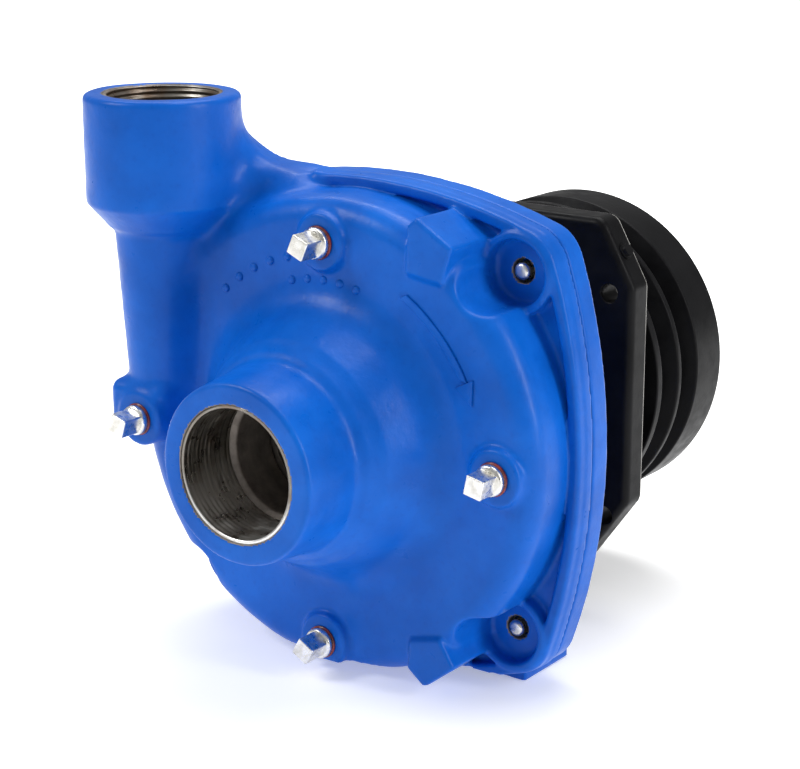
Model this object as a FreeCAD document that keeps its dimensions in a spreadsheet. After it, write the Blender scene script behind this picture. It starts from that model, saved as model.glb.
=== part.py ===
import FreeCAD, Part
import math
import os
import Sketcher

App = FreeCAD
Vector = App.Vector

# Belt-driven centrifugal pump with a two-groove electromagnetic clutch pulley.
# Frame: +Z up, the shaft runs along Y, the suction port faces -Y and the pulley is at +Y.
# The origin is on the ground under the shaft, at the middle of the foot's underside.
# Every length is in millimetres. A station is a place along the shaft (a Y value).

DIMENSIONS = {
    # main heights and stations
    "shaft_height": 88.5,
    "suction_station": -98.0,
    "plate_station": -47.0,
    "flange_station": -25.0,
    "joint_station": -16.0,
    "mount_back": -5.0,
    "support_front": 50.0,
    "support_back": 62.0,
    # casing
    "neck_face_radius": 32.4,
    "neck_root_radius": 35.0,
    "neck_round": 1.6,
    "neck_length": 24.0,
    "dome_step": 37.5,
    "dome_step_run": 4.0,
    "dome_middle": 44.5,
    "dome_radius": 52.0,
    "rim_radius": 88.5,
    "rim_round": 7.0,
    "lobe_radius": 94.5,
    "lobe_rise": 9.5,
    "wall": 7.0,
    "chamber_radius": 81.0,
    "chamber_front": -40.0,
    "suction_thread_radius": 23.4,
    "suction_mouth_radius": 24.1,
    "suction_thread_depth": 25.0,
    "eye_radius": 21.5,
    "wear_radius": 24.5,
    "wear_depth": 12.0,
    "lobe_setback": 5.0,
    "lobe_overlap": 25.0,
    "web_setback": 12.0,
    "web_low": 55.0,
    "plug_boss_root": 10.0,
    "thread_lead_in": 1.2,
    "eye_lead_in": 2.0,
    "chamber_round": 4.0,
    "lobe_chamber_setback": 2.0,
    "lobe_chamber_overlap": 20.0,
    "duct_end_drop": 20.0,
    "duct_lead_in": 2.0,
    "discharge_bevel": 1.7,
    "plug_hole_depth": 15.0,
    # discharge pipe and boss
    "discharge_offset": 75.65,
    "discharge_station": -45.0,
    "discharge_boss_radius": 29.0,
    "discharge_boss_height": 38.0,
    "discharge_top": 119.4,
    "discharge_pipe_top_radius": 18.5,
    "discharge_pipe_low_radius": 15.5,
    "discharge_shoulder_radius": 21.5,
    "discharge_shoulder_height": 71.0,
    "discharge_thread_radius": 20.7,
    "discharge_mouth_radius": 22.4,
    "discharge_thread_depth": 25.0,
    "pipe_foot_drop": 8.0,
    "pipe_low_height": 15.0,
    "pipe_top_height": 62.0,
    "web_top": 93.0,
    "web_inner": 22.0,
    "duct_radius": 10.0,
    "duct_top_radius": 13.5,
    "pipe_node_radius": 19.5,
    "pipe_node_wide": 66.0,
    "pipe_node_free": 84.0,
    "edge_break": 2.0,
    # flange outline and screws
    "flange_crown": 93.0,
    "casing_ground_gap": 2.0,
    "gasket_thickness": 0.8,
    "gasket_inset": 0.6,
    "gasket_bore": 89.0,
    "corner_centre": 66.0,
    "corner_radius": 16.0,
    "screw_offset": 65.9,
    "screw_radius": 4.0,
    "screw_clearance": 0.2,
    "screw_head_radius": 7.5,
    "screw_head_height": 5.5,
    "screw_tip_recess": 3.5,
    # pipe plugs
    "top_plug_rise": 73.0,
    "right_plug_offset": 74.0,
    "bottom_plug_drop": 77.0,
    "left_plug_offset": 76.5,
    "left_plug_rise": -1.5,
    "left_plug_face": -62.5,
    "plug_boss_radius": 10.5,
    "plug_boss_height": 3.0,
    "plug_thread_radius": 5.0,
    "plug_square": 7.2,
    "plug_square_length": 9.5,
    "plug_collar_radius": 5.6,
    "plug_thread_length": 9.0,
    "plug_collar_length": 2.0,
    "plug_collar_stand": 3.0,
    "plug_neck_length": 1.0,
    "sealant_width": 1.1,
    "sealant_bevel": 0.3,
    "ear_offset": 79.0,
    "ear_rise": 0.9,
    "ear_half_width": 13.8,
    "ear_half_height": 10.6,
    "ear_face": -61.5,
    "ear_back": -40.0,
    # cast lugs
    "lug_width": 22.0,
    "lug_height": 24.0,
    "upper_lug_offset": 46.0,
    "upper_lug_rise": 74.0,
    "lower_lug_offset": 49.5,
    "lower_lug_drop": 73.5,
    "lug_back": -20.0,
    # bearing barrel and foot
    "barrel_radius": 31.0,
    "barrel_end_radius": 47.0,
    "barrel_end_thickness": 8.0,
    "seal_pocket_radius": 18.0,
    "seal_seat_front": -3.0,
    "seal_seat_back": 3.0,
    "seal_seat_pocket": 14.0,
    "seal_seat_outer": 12.4,
    "seal_seat_bore": 10.4,
    "shaft_passage_radius": 12.0,
    "weep_width": 8.0,
    "rib_thickness": 7.0,
    "foot_width": 133.0,
    "foot_depth": 30.0,
    "foot_thickness": 10.0,
    "foot_hole_spacing": 100.0,
    "foot_hole_station": 5.0,
    "foot_hole_radius": 5.5,
    "gusset_offset": 24.0,
    "gusset_thickness": 8.0,
    "gusset_drop": 22.0,
    "rib_inset": 3.0,
    # small fittings
    "coil_screw_depth": 8.0,
    "coil_screw_reach": 7.5,
    "coil_screw_head_radius": 4.4,
    "coil_screw_head_height": 3.0,
    "bracket_screw_head_radius": 6.5,
    "bracket_screw_head_height": 7.5,
    "snap_ring_stand": 1.8,
    "clamp_hole_radius": 2.0,
    "clamp_hole_depth": 9.0,
    "clamp_stem_radius": 1.9,
    "clamp_stem_length": 8.0,
    "clamp_washer_radius": 3.2,
    "clamp_washer_thickness": 0.6,
    "clamp_head_radius": 2.4,
    "clamp_head_height": 1.4,
    "snap_groove_play": 0.4,
    "snap_groove_depth": 1.0,
    "snap_groove_width": 1.3,
    "snap_ring_thickness": 1.2,
    "snap_ring_gap": 5.0,
    "small_bevel": 0.5,
    "shield_recess": 0.7,
    "shield_gap": 0.4,
    "pulley_race_thickness": 3.1,
    "pulley_ball_radius": 3.1,
    "retainer_width": 3.2,
    "shaft_nose_bevel": 0.8,
    "shaft_tail_bevel": 1.0,
    "key_setback": 14.0,
    "key_length": 12.0,
    "hub_bolt_hole_radius": 3.3,
    "hub_bolt_hole_depth": 15.0,
    "hub_taper": 1.0,
    "hub_taper_length": 4.0,
    "hub_flare": 6.0,
    "vane_root": 0.2,
    "eye_bevel": 2.0,
    "nut_washer_thickness": 1.6,
    "nut_washer_radius": 11.0,
    "nut_radius": 9.5,
    "nut_height": 8.0,
    "seal_bevel": 0.3,
    "seal_film": 0.05,
    "seal_face_length": 4.0,
    "seal_face_bore": 10.0,
    "seal_face_radius": 12.6,
    "seal_case_floor": 3.0,
    "seal_case_radius": 14.2,
    "seal_case_length": 5.0,
    "slinger_width": 2.4,
    "slinger_rim": 0.8,
    "slinger_radius": 11.4,
    "slinger_back_radius": 10.8,
    "slinger_gap": 1.2,
    "coil_bore_play": 0.2,
    "winding_gap": 0.5,
    "winding_length": 17.0,
    "winding_round": 1.0,
    "winding_front_gap": 0.8,
    "coil_cover_thickness": 2.4,
    "coil_cover_bevel": 0.3,
    "coil_cover_depth": 18.4,
    "grommet_station": 14.0,
    "grommet_bore": 1.6,
    "grommet_neck_radius": 3.0,
    "grommet_nose_radius": 3.6,
    "grommet_collar_radius": 4.6,
    "grommet_lip_radius": 3.8,
    "grommet_taper": 2.0,
    "grommet_collar_end": 3.2,
    "grommet_neck_length": 3.4,
    "grommet_lip_height": 0.8,
    "grommet_drop": 3.3,
    "rotor_ring_thickness": 1.0,
    "rotor_ring_width": 2.5,
    "bearing_lip": 1.5,
    "slot_inner_radius": 42.6,
    "slot_outer_radius": 45.2,
    "groove_edge": 0.8,
    "spring_thickness": 0.8,
    "spring_ring_inner": 20.0,
    "spring_ring_outer": 31.0,
    "arm_root": 25.0,
    "arm_tip": 49.0,
    "arm_root_half_width": 8.0,
    "arm_tip_half_width": 6.0,
    "rivet_radius": 2.0,
    "rivet_play": 0.5,
    "rivet_head_radius": 3.2,
    "rivet_head_height": 1.2,
    "rivet_head_draft": 0.2,
    "hub_rivet_circle": 25.5,
    "armature_rivet_circle": 44.0,
    "hub_rivet_gap": 0.3,
    "hub_reach": 5.4,
    "hub_step": 2.0,
    "hub_nose_radius": 11.0,
    "hub_washer_thickness": 1.6,
    "hub_washer_bore": 4.2,
    "hub_washer_radius": 10.6,
    "hub_washer_bevel": 0.2,
    "hub_bolt_radius": 3.2,
    "hub_bolt_length": 14.0,
    "hub_bolt_head_radius": 6.8,
    "hub_bolt_head_height": 5.4,
    # shaft bearings
    "bearing_bore_radius": 10.0,
    "bearing_outer_radius": 23.5,
    "bearing_width": 14.0,
    "front_bearing_station": 8.0,
    "rear_bearing_station": 32.0,
    "bellows_wall": 1.2,
    "bellows_radius": 13.2,
    "race_thickness": 3.6,
    "ball_radius": 3.7,
    "ball_play": 0.05,
    # bracket plate
    "bracket_half_width": 70.0,
    "bracket_half_height": 72.0,
    "bracket_corner_x": 56.0,
    "bracket_corner_z": 47.0,
    "bracket_low_corner_z": 38.0,
    "bracket_low_x": 50.0,
    "bracket_low_z": 66.0,
    "bracket_round": 3.0,
    "bracket_bore_radius": 24.0,
    "bracket_screw_circle": 38.0,
    "bracket_screw_radius": 4.0,
    "bracket_hole_x": 60.0,
    "bracket_hole_z": 44.0,
    "bracket_hole_radius": 5.0,
    # pulley support tube
    "stub_radius": 20.0,
    "stub_shoulder_radius": 23.8,
    "stub_bore_radius": 12.5,
    "stub_end": 121.5,
    "pulley_bearing_station": 98.0,
    "pulley_bearing_width": 20.6,
    "pulley_bearing_outer_radius": 31.0,
    # clutch coil
    "coil_plate_radius": 52.0,
    "coil_sleeve_radius": 50.0,
    "coil_wall": 3.0,
    "coil_front": 94.0,
    "coil_back": 120.6,
    "coil_outer_radius": 51.6,
    "coil_inner_radius": 36.6,
    "coil_screw_circle": 36.0,
    "coil_screw_radius": 2.5,
    # pulley
    "pulley_front": 82.5,
    "pulley_back": 135.7,
    "pulley_radius": 64.5,
    "groove_depth": 9.5,
    "groove_top_width": 13.0,
    "groove_bottom_width": 6.5,
    "groove_pitch": 15.9,
    "rear_band_front": 115.4,
    "drum_bore_radius": 52.4,
    "web_front": 121.8,
    "web_back": 128.0,
    "hub_radius": 35.6,
    # armature and hub
    "armature_gap": 0.8,
    "armature_thickness": 4.2,
    "armature_inner_radius": 36.5,
    "armature_outer_radius": 51.6,
    "hub_plate_front": 129.2,
    "hub_plate_back": 132.0,
    "hub_plate_radius": 34.0,
    "hub_barrel_radius": 15.0,
    # shaft and impeller
    "shaft_nose_station": -52.0,
    "shaft_thread_radius": 6.0,
    "impeller_seat_radius": 8.0,
    "seal_seat_radius": 9.5,
    "shaft_collar_radius": 13.2,
    "shaft_tail_radius": 9.0,
    "shaft_tail": 127.0,
    "impeller_front": -40.0,
    "impeller_back": -19.0,
    "impeller_radius": 70.0,
    "impeller_shroud": 3.0,
    "impeller_hub_radius": 12.0,
    "impeller_eye_radius": 20.0,
    "impeller_ring_radius": 23.9,
    "impeller_ring_reach": 11.0,
    "vane_height": 9.0,
    "vane_radius": 42.0,
    "vane_centre_x": 13.0,
    "vane_centre_y": 28.0,
    "vane_thickness": 3.0,
}

doc = App.newDocument("belt_pump")


# ---------------------------------------------------------------- the sheet and its sizes

sheet = doc.addObject("Spreadsheet::Sheet", "Sizes")
for row, (alias, number) in enumerate(DIMENSIONS.items(), start=1):
    sheet.set(f"A{row}", alias)
    sheet.set(f"B{row}", str(number))
    sheet.setAlias(f"B{row}", alias)
doc.recompute()


class Size:
    """A number together with the sheet expression that it comes from."""

    def __init__(self, value, text):
        self.value = value
        self.text = text

    def __add__(self, other):
        other = as_size(other)
        return Size(self.value + other.value, f"({self.text} + {other.text})")

    def __radd__(self, other):
        return as_size(other) + self

    def __sub__(self, other):
        other = as_size(other)
        return Size(self.value - other.value, f"({self.text} - {other.text})")

    def __rsub__(self, other):
        return as_size(other) - self

    def __mul__(self, other):
        other = as_size(other)
        return Size(self.value * other.value, f"({self.text} * {other.text})")

    def __rmul__(self, other):
        return as_size(other) * self

    def __truediv__(self, other):
        other = as_size(other)
        return Size(self.value / other.value, f"({self.text} / {other.text})")

    def __neg__(self):
        return Size(-self.value, f"(0 - {self.text})")


def as_size(number):
    if isinstance(number, Size):
        return number
    return Size(float(number), f"({float(number):.6f})")


class Sheet:
    """Gives each alias of the sheet as a Size: dims.pulley_radius and so on."""

    def __getattr__(self, alias):
        return Size(float(getattr(sheet, alias)), f"Sizes.{alias}")


dims = Sheet()
AXIS_HEIGHT = dims.shaft_height


# ---------------------------------------------------------------- placing and binding

UPRIGHT = App.Rotation()
ALONG_SHAFT = App.Rotation(Vector(1, 0, 0), -90)      # a part's own Z points to +Y


def bind(thing, prop, size):
    thing.setExpression(prop, as_size(size).text)


def place(thing, x=0, y=0, z=AXIS_HEIGHT, turn=ALONG_SHAFT):
    spot = [as_size(value) for value in (x, y, z)]
    thing.Placement = App.Placement(Vector(*[value.value for value in spot]), turn)
    for letter, value in zip("xyz", spot):
        bind(thing, f"Placement.Base.{letter}", value)
    return thing


def cylinder(name, radius, length, **spot):
    thing = doc.addObject("Part::Cylinder", name)
    bind(thing, "Radius", radius)
    bind(thing, "Height", length)
    return place(thing, **spot)


def cone(name, low_radius, high_radius, length, **spot):
    thing = doc.addObject("Part::Cone", name)
    bind(thing, "Radius1", low_radius)
    bind(thing, "Radius2", high_radius)
    bind(thing, "Height", length)
    return place(thing, **spot)


def box(name, low, high):
    """A box between two corners given in the part's frame."""
    thing = doc.addObject("Part::Box", name)
    low = [as_size(value) for value in low]
    high = [as_size(value) for value in high]
    for prop, start, end in zip(("Length", "Width", "Height"), low, high):
        bind(thing, prop, end - start)
    return place(thing, x=low[0], y=low[1], z=low[2], turn=UPRIGHT)


def fuse(name, pieces):
    thing = doc.addObject("Part::MultiFuse", name)
    thing.Shapes = pieces
    return thing


def common(name, pieces):
    thing = doc.addObject("Part::MultiCommon", name)
    thing.Shapes = pieces
    return thing


def cut(name, base, tools):
    thing = doc.addObject("Part::Cut", name)
    thing.Base = base
    thing.Tool = tools[0] if len(tools) == 1 else fuse(f"{name}_tools", tools)
    return thing


def group(name, pieces):
    thing = doc.addObject("Part::Compound", name)
    thing.Links = pieces
    return thing


# ---------------------------------------------------------------- sketches

def pin_point(sketch, geo, pos, x, y):
    """Fixes a sketch point at signed distances from the sketch's origin."""
    for kind, size, axis in (("DistanceX", as_size(x), -2), ("DistanceY", as_size(y), -1)):
        if abs(size.value) < 1e-9:
            sketch.addConstraint(Sketcher.Constraint("PointOnObject", geo, pos, axis))
            continue
        ends = (-1, 1, geo, pos) if size.value > 0 else (geo, pos, -1, 1)
        index = sketch.addConstraint(Sketcher.Constraint(kind, *ends, abs(size.value)))
        positive = size if size.value > 0 else -size
        sketch.setExpression(f"Constraints[{index}]", positive.text)


def polygon(sketch, points):
    """A closed outline of straight sides through the given points."""
    spots = [(as_size(x), as_size(y)) for x, y in points]
    lines = []
    for start, end in zip(spots, spots[1:] + spots[:1]):
        ends = [Vector(x.value, y.value, 0) for x, y in (start, end)]
        lines.append(sketch.addGeometry(Part.LineSegment(*ends), False))
    for geo, (x, y) in zip(lines, spots):
        following = lines[(lines.index(geo) + 1) % len(lines)]
        sketch.addConstraint(Sketcher.Constraint("Coincident", geo, 2, following, 1))
        pin_point(sketch, geo, 1, x, y)


def circle(sketch, radius, x=0, y=0):
    radius = as_size(radius)
    centre = Vector(as_size(x).value, as_size(y).value, 0)
    geo = sketch.addGeometry(Part.Circle(centre, Vector(0, 0, 1), radius.value), False)
    index = sketch.addConstraint(Sketcher.Constraint("Radius", geo, radius.value))
    sketch.setExpression(f"Constraints[{index}]", radius.text)
    pin_point(sketch, geo, 3, x, y)


def rounded_square(sketch, crown, corner, radius):
    """Four bulged sides, each an arc tangent to the rounded corners beside it."""
    reach = crown - radius
    centre_shift = (2 * corner * corner - reach * reach) / (2 * (reach - corner))
    side_radius = crown + centre_shift
    side = side_radius.value
    shift = centre_shift.value
    tilt = math.atan2(corner.value, corner.value + shift)
    arcs = []
    for quarter in range(4):
        turn = quarter * math.pi / 2
        centre = Vector(-shift * math.cos(turn), -shift * math.sin(turn), 0)
        round_side = Part.Circle(centre, Vector(0, 0, 1), side)
        arcs.append(sketch.addGeometry(Part.ArcOfCircle(round_side, turn - tilt, turn + tilt), False))
        diagonal = turn + math.pi / 4
        spot = Vector(corner.value * math.sqrt(2) * math.cos(diagonal),
                      corner.value * math.sqrt(2) * math.sin(diagonal), 0)
        round_corner = Part.Circle(spot, Vector(0, 0, 1), radius.value)
        arcs.append(sketch.addGeometry(Part.ArcOfCircle(
            round_corner, turn + tilt, turn + math.pi / 2 - tilt), False))
    for place_in_row, geo in enumerate(arcs):
        following = arcs[(place_in_row + 1) % len(arcs)]
        sketch.addConstraint(Sketcher.Constraint("Tangent", geo, 2, following, 1))
        is_side = place_in_row % 2 == 0
        size = side_radius if is_side else radius
        index = sketch.addConstraint(Sketcher.Constraint("Radius", geo, size.value))
        sketch.setExpression(f"Constraints[{index}]", size.text)
        if not is_side:
            quarter = place_in_row // 2
            sign_x = 1 if quarter in (0, 3) else -1
            sign_y = 1 if quarter in (0, 1) else -1
            pin_point(sketch, geo, 3, sign_x * corner, sign_y * corner)


def new_body(name, **spot):
    return place(doc.addObject("PartDesign::Body", name), **spot)


def new_sketch(body, name, plane="XY_Plane", offset=0):
    sketch = body.newObject("Sketcher::SketchObject", name)
    planes = [feature for feature in body.Origin.OriginFeatures if feature.Role == plane]
    sketch.AttachmentSupport = [(planes[0], "")]
    sketch.MapMode = "FlatFace"
    if as_size(offset).value:
        sketch.AttachmentOffset = App.Placement(Vector(0, 0, as_size(offset).value), UPRIGHT)
        bind(sketch, "AttachmentOffset.Base.z", offset)
    return sketch


def turned(name, profile, **spot):
    """A lathe-turned body: profile lists (radius, distance along its own axis)."""
    body = new_body(name, **spot)
    add_turned(body, profile)
    return body


def add_turned(body, profile, groove=False):
    kind = "Groove" if groove else "Revolution"
    count = len(body.Group)
    sketch = new_sketch(body, f"{body.Name}_profile_{count}", "XZ_Plane")
    polygon(sketch, profile)
    feature = body.newObject(f"PartDesign::{kind}", f"{body.Name}_{kind.lower()}_{count}")
    feature.Profile = sketch
    feature.ReferenceAxis = (sketch, ["V_Axis"])
    feature.Angle = 360
    sketch.Visibility = False
    return feature


def add_pad(body, draw, length, offset=0):
    count = len(body.Group)
    sketch = new_sketch(body, f"{body.Name}_outline_{count}", "XY_Plane", offset)
    draw(sketch)
    pad = body.newObject("PartDesign::Pad", f"{body.Name}_pad_{count}")
    pad.Profile = sketch
    bind(pad, "Length", length)
    return pad


def add_pocket(body, draw, offset=0, depth=None):
    """Cuts towards the body's own -Z from the given height."""
    count = len(body.Group)
    sketch = new_sketch(body, f"{body.Name}_cut_outline_{count}", "XY_Plane", offset)
    draw(sketch)
    pocket = body.newObject("PartDesign::Pocket", f"{body.Name}_pocket_{count}")
    pocket.Profile = sketch
    if depth is None:
        pocket.Type = "ThroughAll"
        pocket.Midplane = True
    else:
        bind(pocket, "Length", depth)
    return pocket


def ring_pattern(body, feature, count):
    """Repeats a feature evenly round the body's own axis."""
    pattern = body.newObject("PartDesign::PolarPattern", f"{feature.Name}_ring")
    pattern.Originals = [feature]
    axis = [item for item in body.Origin.OriginFeatures if item.Role == "Z_Axis"][0]
    pattern.Axis = (axis, [""])
    pattern.Angle = 360
    pattern.Occurrences = count
    body.Tip = pattern
    return pattern


def tube_profile(inner, outer, length, chamfer=0):
    """Section of a plain ring, with its outer edges bevelled."""
    if not as_size(chamfer).value:
        return [(inner, 0), (outer, 0), (outer, length), (inner, length)]
    return [(inner, 0), (outer - chamfer, 0), (outer, chamfer),
            (outer, length - chamfer), (outer - chamfer, length), (inner, length)]


CORNERS = [(1, 1), (-1, 1), (-1, -1), (1, -1)]
OUTREACH = 120.0       # beyond the part on every side, for trimming boxes
OVERRUN = 1.0          # how far a cutting tool runs past the face it opens


# ---------------------------------------------------------------- casing

def casing_outside():
    face = dims.suction_station
    plate = dims.plate_station - face
    length = dims.joint_station - face
    step = dims.neck_length + dims.dome_step_run
    shell = turned("casing_shell", [
        (0, 0),
        (dims.neck_face_radius - dims.neck_round, 0),
        (dims.neck_face_radius, dims.neck_round),
        (dims.neck_root_radius, dims.neck_length),
        (dims.dome_step, step),
        (dims.dome_middle, (step + plate) / 2),
        (dims.dome_radius, plate),
        (dims.rim_radius - dims.rim_round, plate),
        (dims.rim_radius, plate + dims.rim_round),
        (dims.rim_radius, length),
        (0, length)], y=face)
    lobe_front = dims.plate_station + dims.lobe_setback
    lobe = common("casing_lobe", [
        cylinder("lobe_disc", dims.lobe_radius, dims.joint_station - lobe_front,
                 y=lobe_front, z=AXIS_HEIGHT + dims.lobe_rise),
        box("lobe_limit", (-OUTREACH, lobe_front, dims.casing_ground_gap),
            (0, dims.joint_station, AXIS_HEIGHT + dims.lobe_overlap))])
    flange = new_body("casing_flange", y=dims.flange_station)
    add_pad(flange, lambda sketch: rounded_square(
        sketch, dims.flange_crown, dims.corner_centre, dims.corner_radius),
        dims.joint_station - dims.flange_station)
    web = box("discharge_web",
              (-dims.discharge_offset, dims.flange_station - dims.web_setback,
               AXIS_HEIGHT + dims.web_low),
              (-dims.web_inner, dims.joint_station, AXIS_HEIGHT + dims.web_top))
    return [shell, lobe, flange, web] + cast_lugs() + plug_bosses() + [discharge_outside()]


def discharge_outside():
    foot = dims.pipe_foot_drop
    top = dims.discharge_top + foot
    boss_low = top - dims.discharge_boss_height
    return turned("discharge_pipe_outside", [
        (0, 0),
        (dims.discharge_pipe_low_radius - dims.edge_break, 0),
        (dims.discharge_pipe_low_radius, foot + dims.pipe_low_height),
        (dims.discharge_pipe_top_radius, foot + dims.pipe_top_height),
        (dims.discharge_shoulder_radius, foot + dims.discharge_shoulder_height),
        (dims.discharge_boss_radius, boss_low),
        (dims.discharge_boss_radius, top - dims.edge_break),
        (dims.discharge_boss_radius - dims.edge_break, top),
        (0, top)],
        x=-dims.discharge_offset, y=dims.discharge_station, z=AXIS_HEIGHT - foot, turn=UPRIGHT)


def cast_lugs():
    half_width = dims.lug_width / 2
    half_height = dims.lug_height / 2
    lugs = []
    for name, across, rise in (("upper_lug", dims.upper_lug_offset, dims.upper_lug_rise),
                               ("lower_lug", dims.lower_lug_offset, -dims.lower_lug_drop)):
        middle = AXIS_HEIGHT + rise
        lugs.append(box(name, (across - half_width, dims.plate_station, middle - half_height),
                        (across + half_width, dims.lug_back, middle + half_height)))
    return lugs


def plug_spots():
    """Where the pipe plugs sit: (x, height above the shaft, station of the boss's face)."""
    face = dims.plate_station - dims.plug_boss_height
    return [(as_size(0), dims.top_plug_rise, face), (dims.right_plug_offset, as_size(0), face),
            (as_size(0), -dims.bottom_plug_drop, face),
            (-dims.left_plug_offset, dims.left_plug_rise, dims.left_plug_face)]


def plug_bosses():
    bosses = []
    for index, (across, rise, face) in enumerate(plug_spots()):
        bosses.append(cylinder(f"plug_boss_{index}", dims.plug_boss_radius,
                               dims.plug_boss_root + dims.plug_boss_height,
                               x=across, y=face, z=AXIS_HEIGHT + rise))
    middle = AXIS_HEIGHT + dims.ear_rise
    across = -dims.ear_offset
    bosses.append(box("plug_ear",
                      (across - dims.ear_half_width, dims.ear_face, middle - dims.ear_half_height),
                      (across + dims.ear_half_width, dims.ear_back, middle + dims.ear_half_height)))
    return bosses


def casing_inside():
    face = dims.suction_station
    chamber = dims.chamber_front - face
    length = dims.joint_station - face
    depth = dims.suction_thread_depth
    waterway = turned("suction_waterway", [
        (0, -OVERRUN),
        (dims.suction_mouth_radius, -OVERRUN),
        (dims.suction_mouth_radius, 0),
        (dims.suction_thread_radius, dims.thread_lead_in),
        (dims.suction_thread_radius, depth),
        (dims.eye_radius, depth + dims.eye_lead_in),
        (dims.eye_radius, chamber - dims.wear_depth),
        (dims.wear_radius, chamber - dims.wear_depth),
        (dims.wear_radius, chamber),
        (dims.chamber_radius - dims.chamber_round, chamber),
        (dims.chamber_radius, chamber + dims.chamber_round),
        (dims.chamber_radius, length + OVERRUN),
        (0, length + OVERRUN)], y=face)
    lobe_front = dims.chamber_front + dims.lobe_chamber_setback
    lobe = common("lobe_chamber", [
        cylinder("lobe_chamber_disc", dims.lobe_radius - dims.wall, OUTREACH,
                 y=lobe_front, z=AXIS_HEIGHT + dims.lobe_rise),
        box("lobe_chamber_limit", (-OUTREACH, lobe_front, 0),
            (0, dims.joint_station + OVERRUN, AXIS_HEIGHT + dims.lobe_chamber_overlap))])
    duct = cone("discharge_duct", dims.duct_radius, dims.duct_top_radius,
                dims.discharge_top - dims.duct_end_drop,
                x=-dims.discharge_offset, y=dims.discharge_station, z=AXIS_HEIGHT, turn=UPRIGHT)
    port_depth = dims.discharge_thread_depth
    port = turned("discharge_waterway", [
        (0, 0),
        (dims.duct_top_radius, 0),
        (dims.discharge_thread_radius, dims.duct_lead_in),
        (dims.discharge_thread_radius, port_depth - dims.discharge_bevel),
        (dims.discharge_mouth_radius, port_depth),
        (dims.discharge_mouth_radius, port_depth + OVERRUN),
        (0, port_depth + OVERRUN)],
        x=-dims.discharge_offset, y=dims.discharge_station,
        z=AXIS_HEIGHT + dims.discharge_top - port_depth, turn=UPRIGHT)
    holes = [cylinder(f"plug_hole_{index}", dims.plug_thread_radius, dims.plug_hole_depth + OVERRUN,
                      x=across, y=face - OVERRUN, z=AXIS_HEIGHT + rise)
             for index, (across, rise, face) in enumerate(plug_spots())]
    screws = corner_holes("casing", dims.flange_station - OVERRUN,
                          dims.joint_station - dims.flange_station + OVERRUN * 2)
    return [waterway, lobe, duct, port] + holes + screws


def corner_holes(owner, station, length, radius=dims.screw_radius):
    return [cylinder(f"{owner}_hole_{index}", radius, length, x=sign_x * dims.screw_offset,
                     y=station, z=AXIS_HEIGHT + sign_z * dims.screw_offset)
            for index, (sign_x, sign_z) in enumerate(CORNERS)]


def upright_cylinder(name, radius, low, high):
    """A cylinder about the discharge pipe's line, between two heights above the shaft."""
    return cylinder(name, radius, high - low, x=-dims.discharge_offset, y=dims.discharge_station,
                    z=AXIS_HEIGHT + low, turn=UPRIGHT)


def pipe_region(owner):
    """The room that the discharge side takes out of the casting, as one tool shape."""
    wide = dims.discharge_boss_radius + OVERRUN
    top = dims.discharge_top + OVERRUN
    side = box(f"{owner}_side", (-OUTREACH, -OUTREACH, AXIS_HEIGHT),
               (dims.pipe_node_radius - dims.discharge_offset, 0, OUTREACH * 2))
    collar = upright_cylinder(f"{owner}_collar", wide, dims.pipe_node_wide, dims.pipe_node_free)
    ahead = box(f"{owner}_ahead", (-OUTREACH, -OUTREACH, 0), (0, dims.flange_station, OUTREACH * 2))
    head = upright_cylinder(f"{owner}_head", wide, dims.pipe_node_free, top)
    return fuse(f"{owner}_region", [side, common(f"{owner}_collar_ahead", [collar, ahead]), head])


def boss_region(owner):
    """Everything above the foot of the discharge thread."""
    low = AXIS_HEIGHT + dims.discharge_top - dims.discharge_thread_depth
    return box(f"{owner}_boss_region", (-OUTREACH, -OUTREACH, low), (0, 0, OUTREACH * 2))


def casting():
    """The casing as it is cast; its discharge side becomes two nodes of its own."""
    blank = fuse("casing_blank", casing_outside())
    below = box("casing_ground_trim", (-OUTREACH, -OUTREACH, -OUTREACH),
                (OUTREACH, 0, dims.casing_ground_gap))
    whole = cut("casing_whole", blank, casing_inside() + [below])
    discharge = common("casing_discharge", [whole, pipe_region("pipe")])
    return [cut("volute_casing", whole, [pipe_region("casing")]),
            cut("discharge_pipe", discharge, [boss_region("pipe")]),
            common("discharge_boss", [discharge, boss_region("boss")])]


def casing_gasket():
    sheet_body = new_body("gasket_sheet", y=dims.joint_station)
    inset = dims.gasket_inset
    add_pad(sheet_body, lambda sketch: rounded_square(
        sketch, dims.flange_crown - inset, dims.corner_centre, dims.corner_radius - inset),
        dims.gasket_thickness)
    station = dims.joint_station - OVERRUN
    through = dims.gasket_thickness + OVERRUN * 2
    opening = cylinder("gasket_opening", dims.gasket_bore, through, y=station)
    below = box("gasket_trim", (-OUTREACH, -OUTREACH, -OUTREACH), (OUTREACH, 0, dims.casing_ground_gap))
    holes = corner_holes("gasket", station, through)
    return cut("casing_gasket", sheet_body, [opening, below] + holes)


# ---------------------------------------------------------------- mounting flange, barrel and foot

def flange_front():
    return dims.joint_station + dims.gasket_thickness


def flange_plate(name):
    plate = new_body(name, y=flange_front())
    add_pad(plate, lambda sketch: rounded_square(
        sketch, dims.flange_crown, dims.corner_centre, dims.corner_radius),
        dims.mount_back - flange_front())
    return plate


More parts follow.
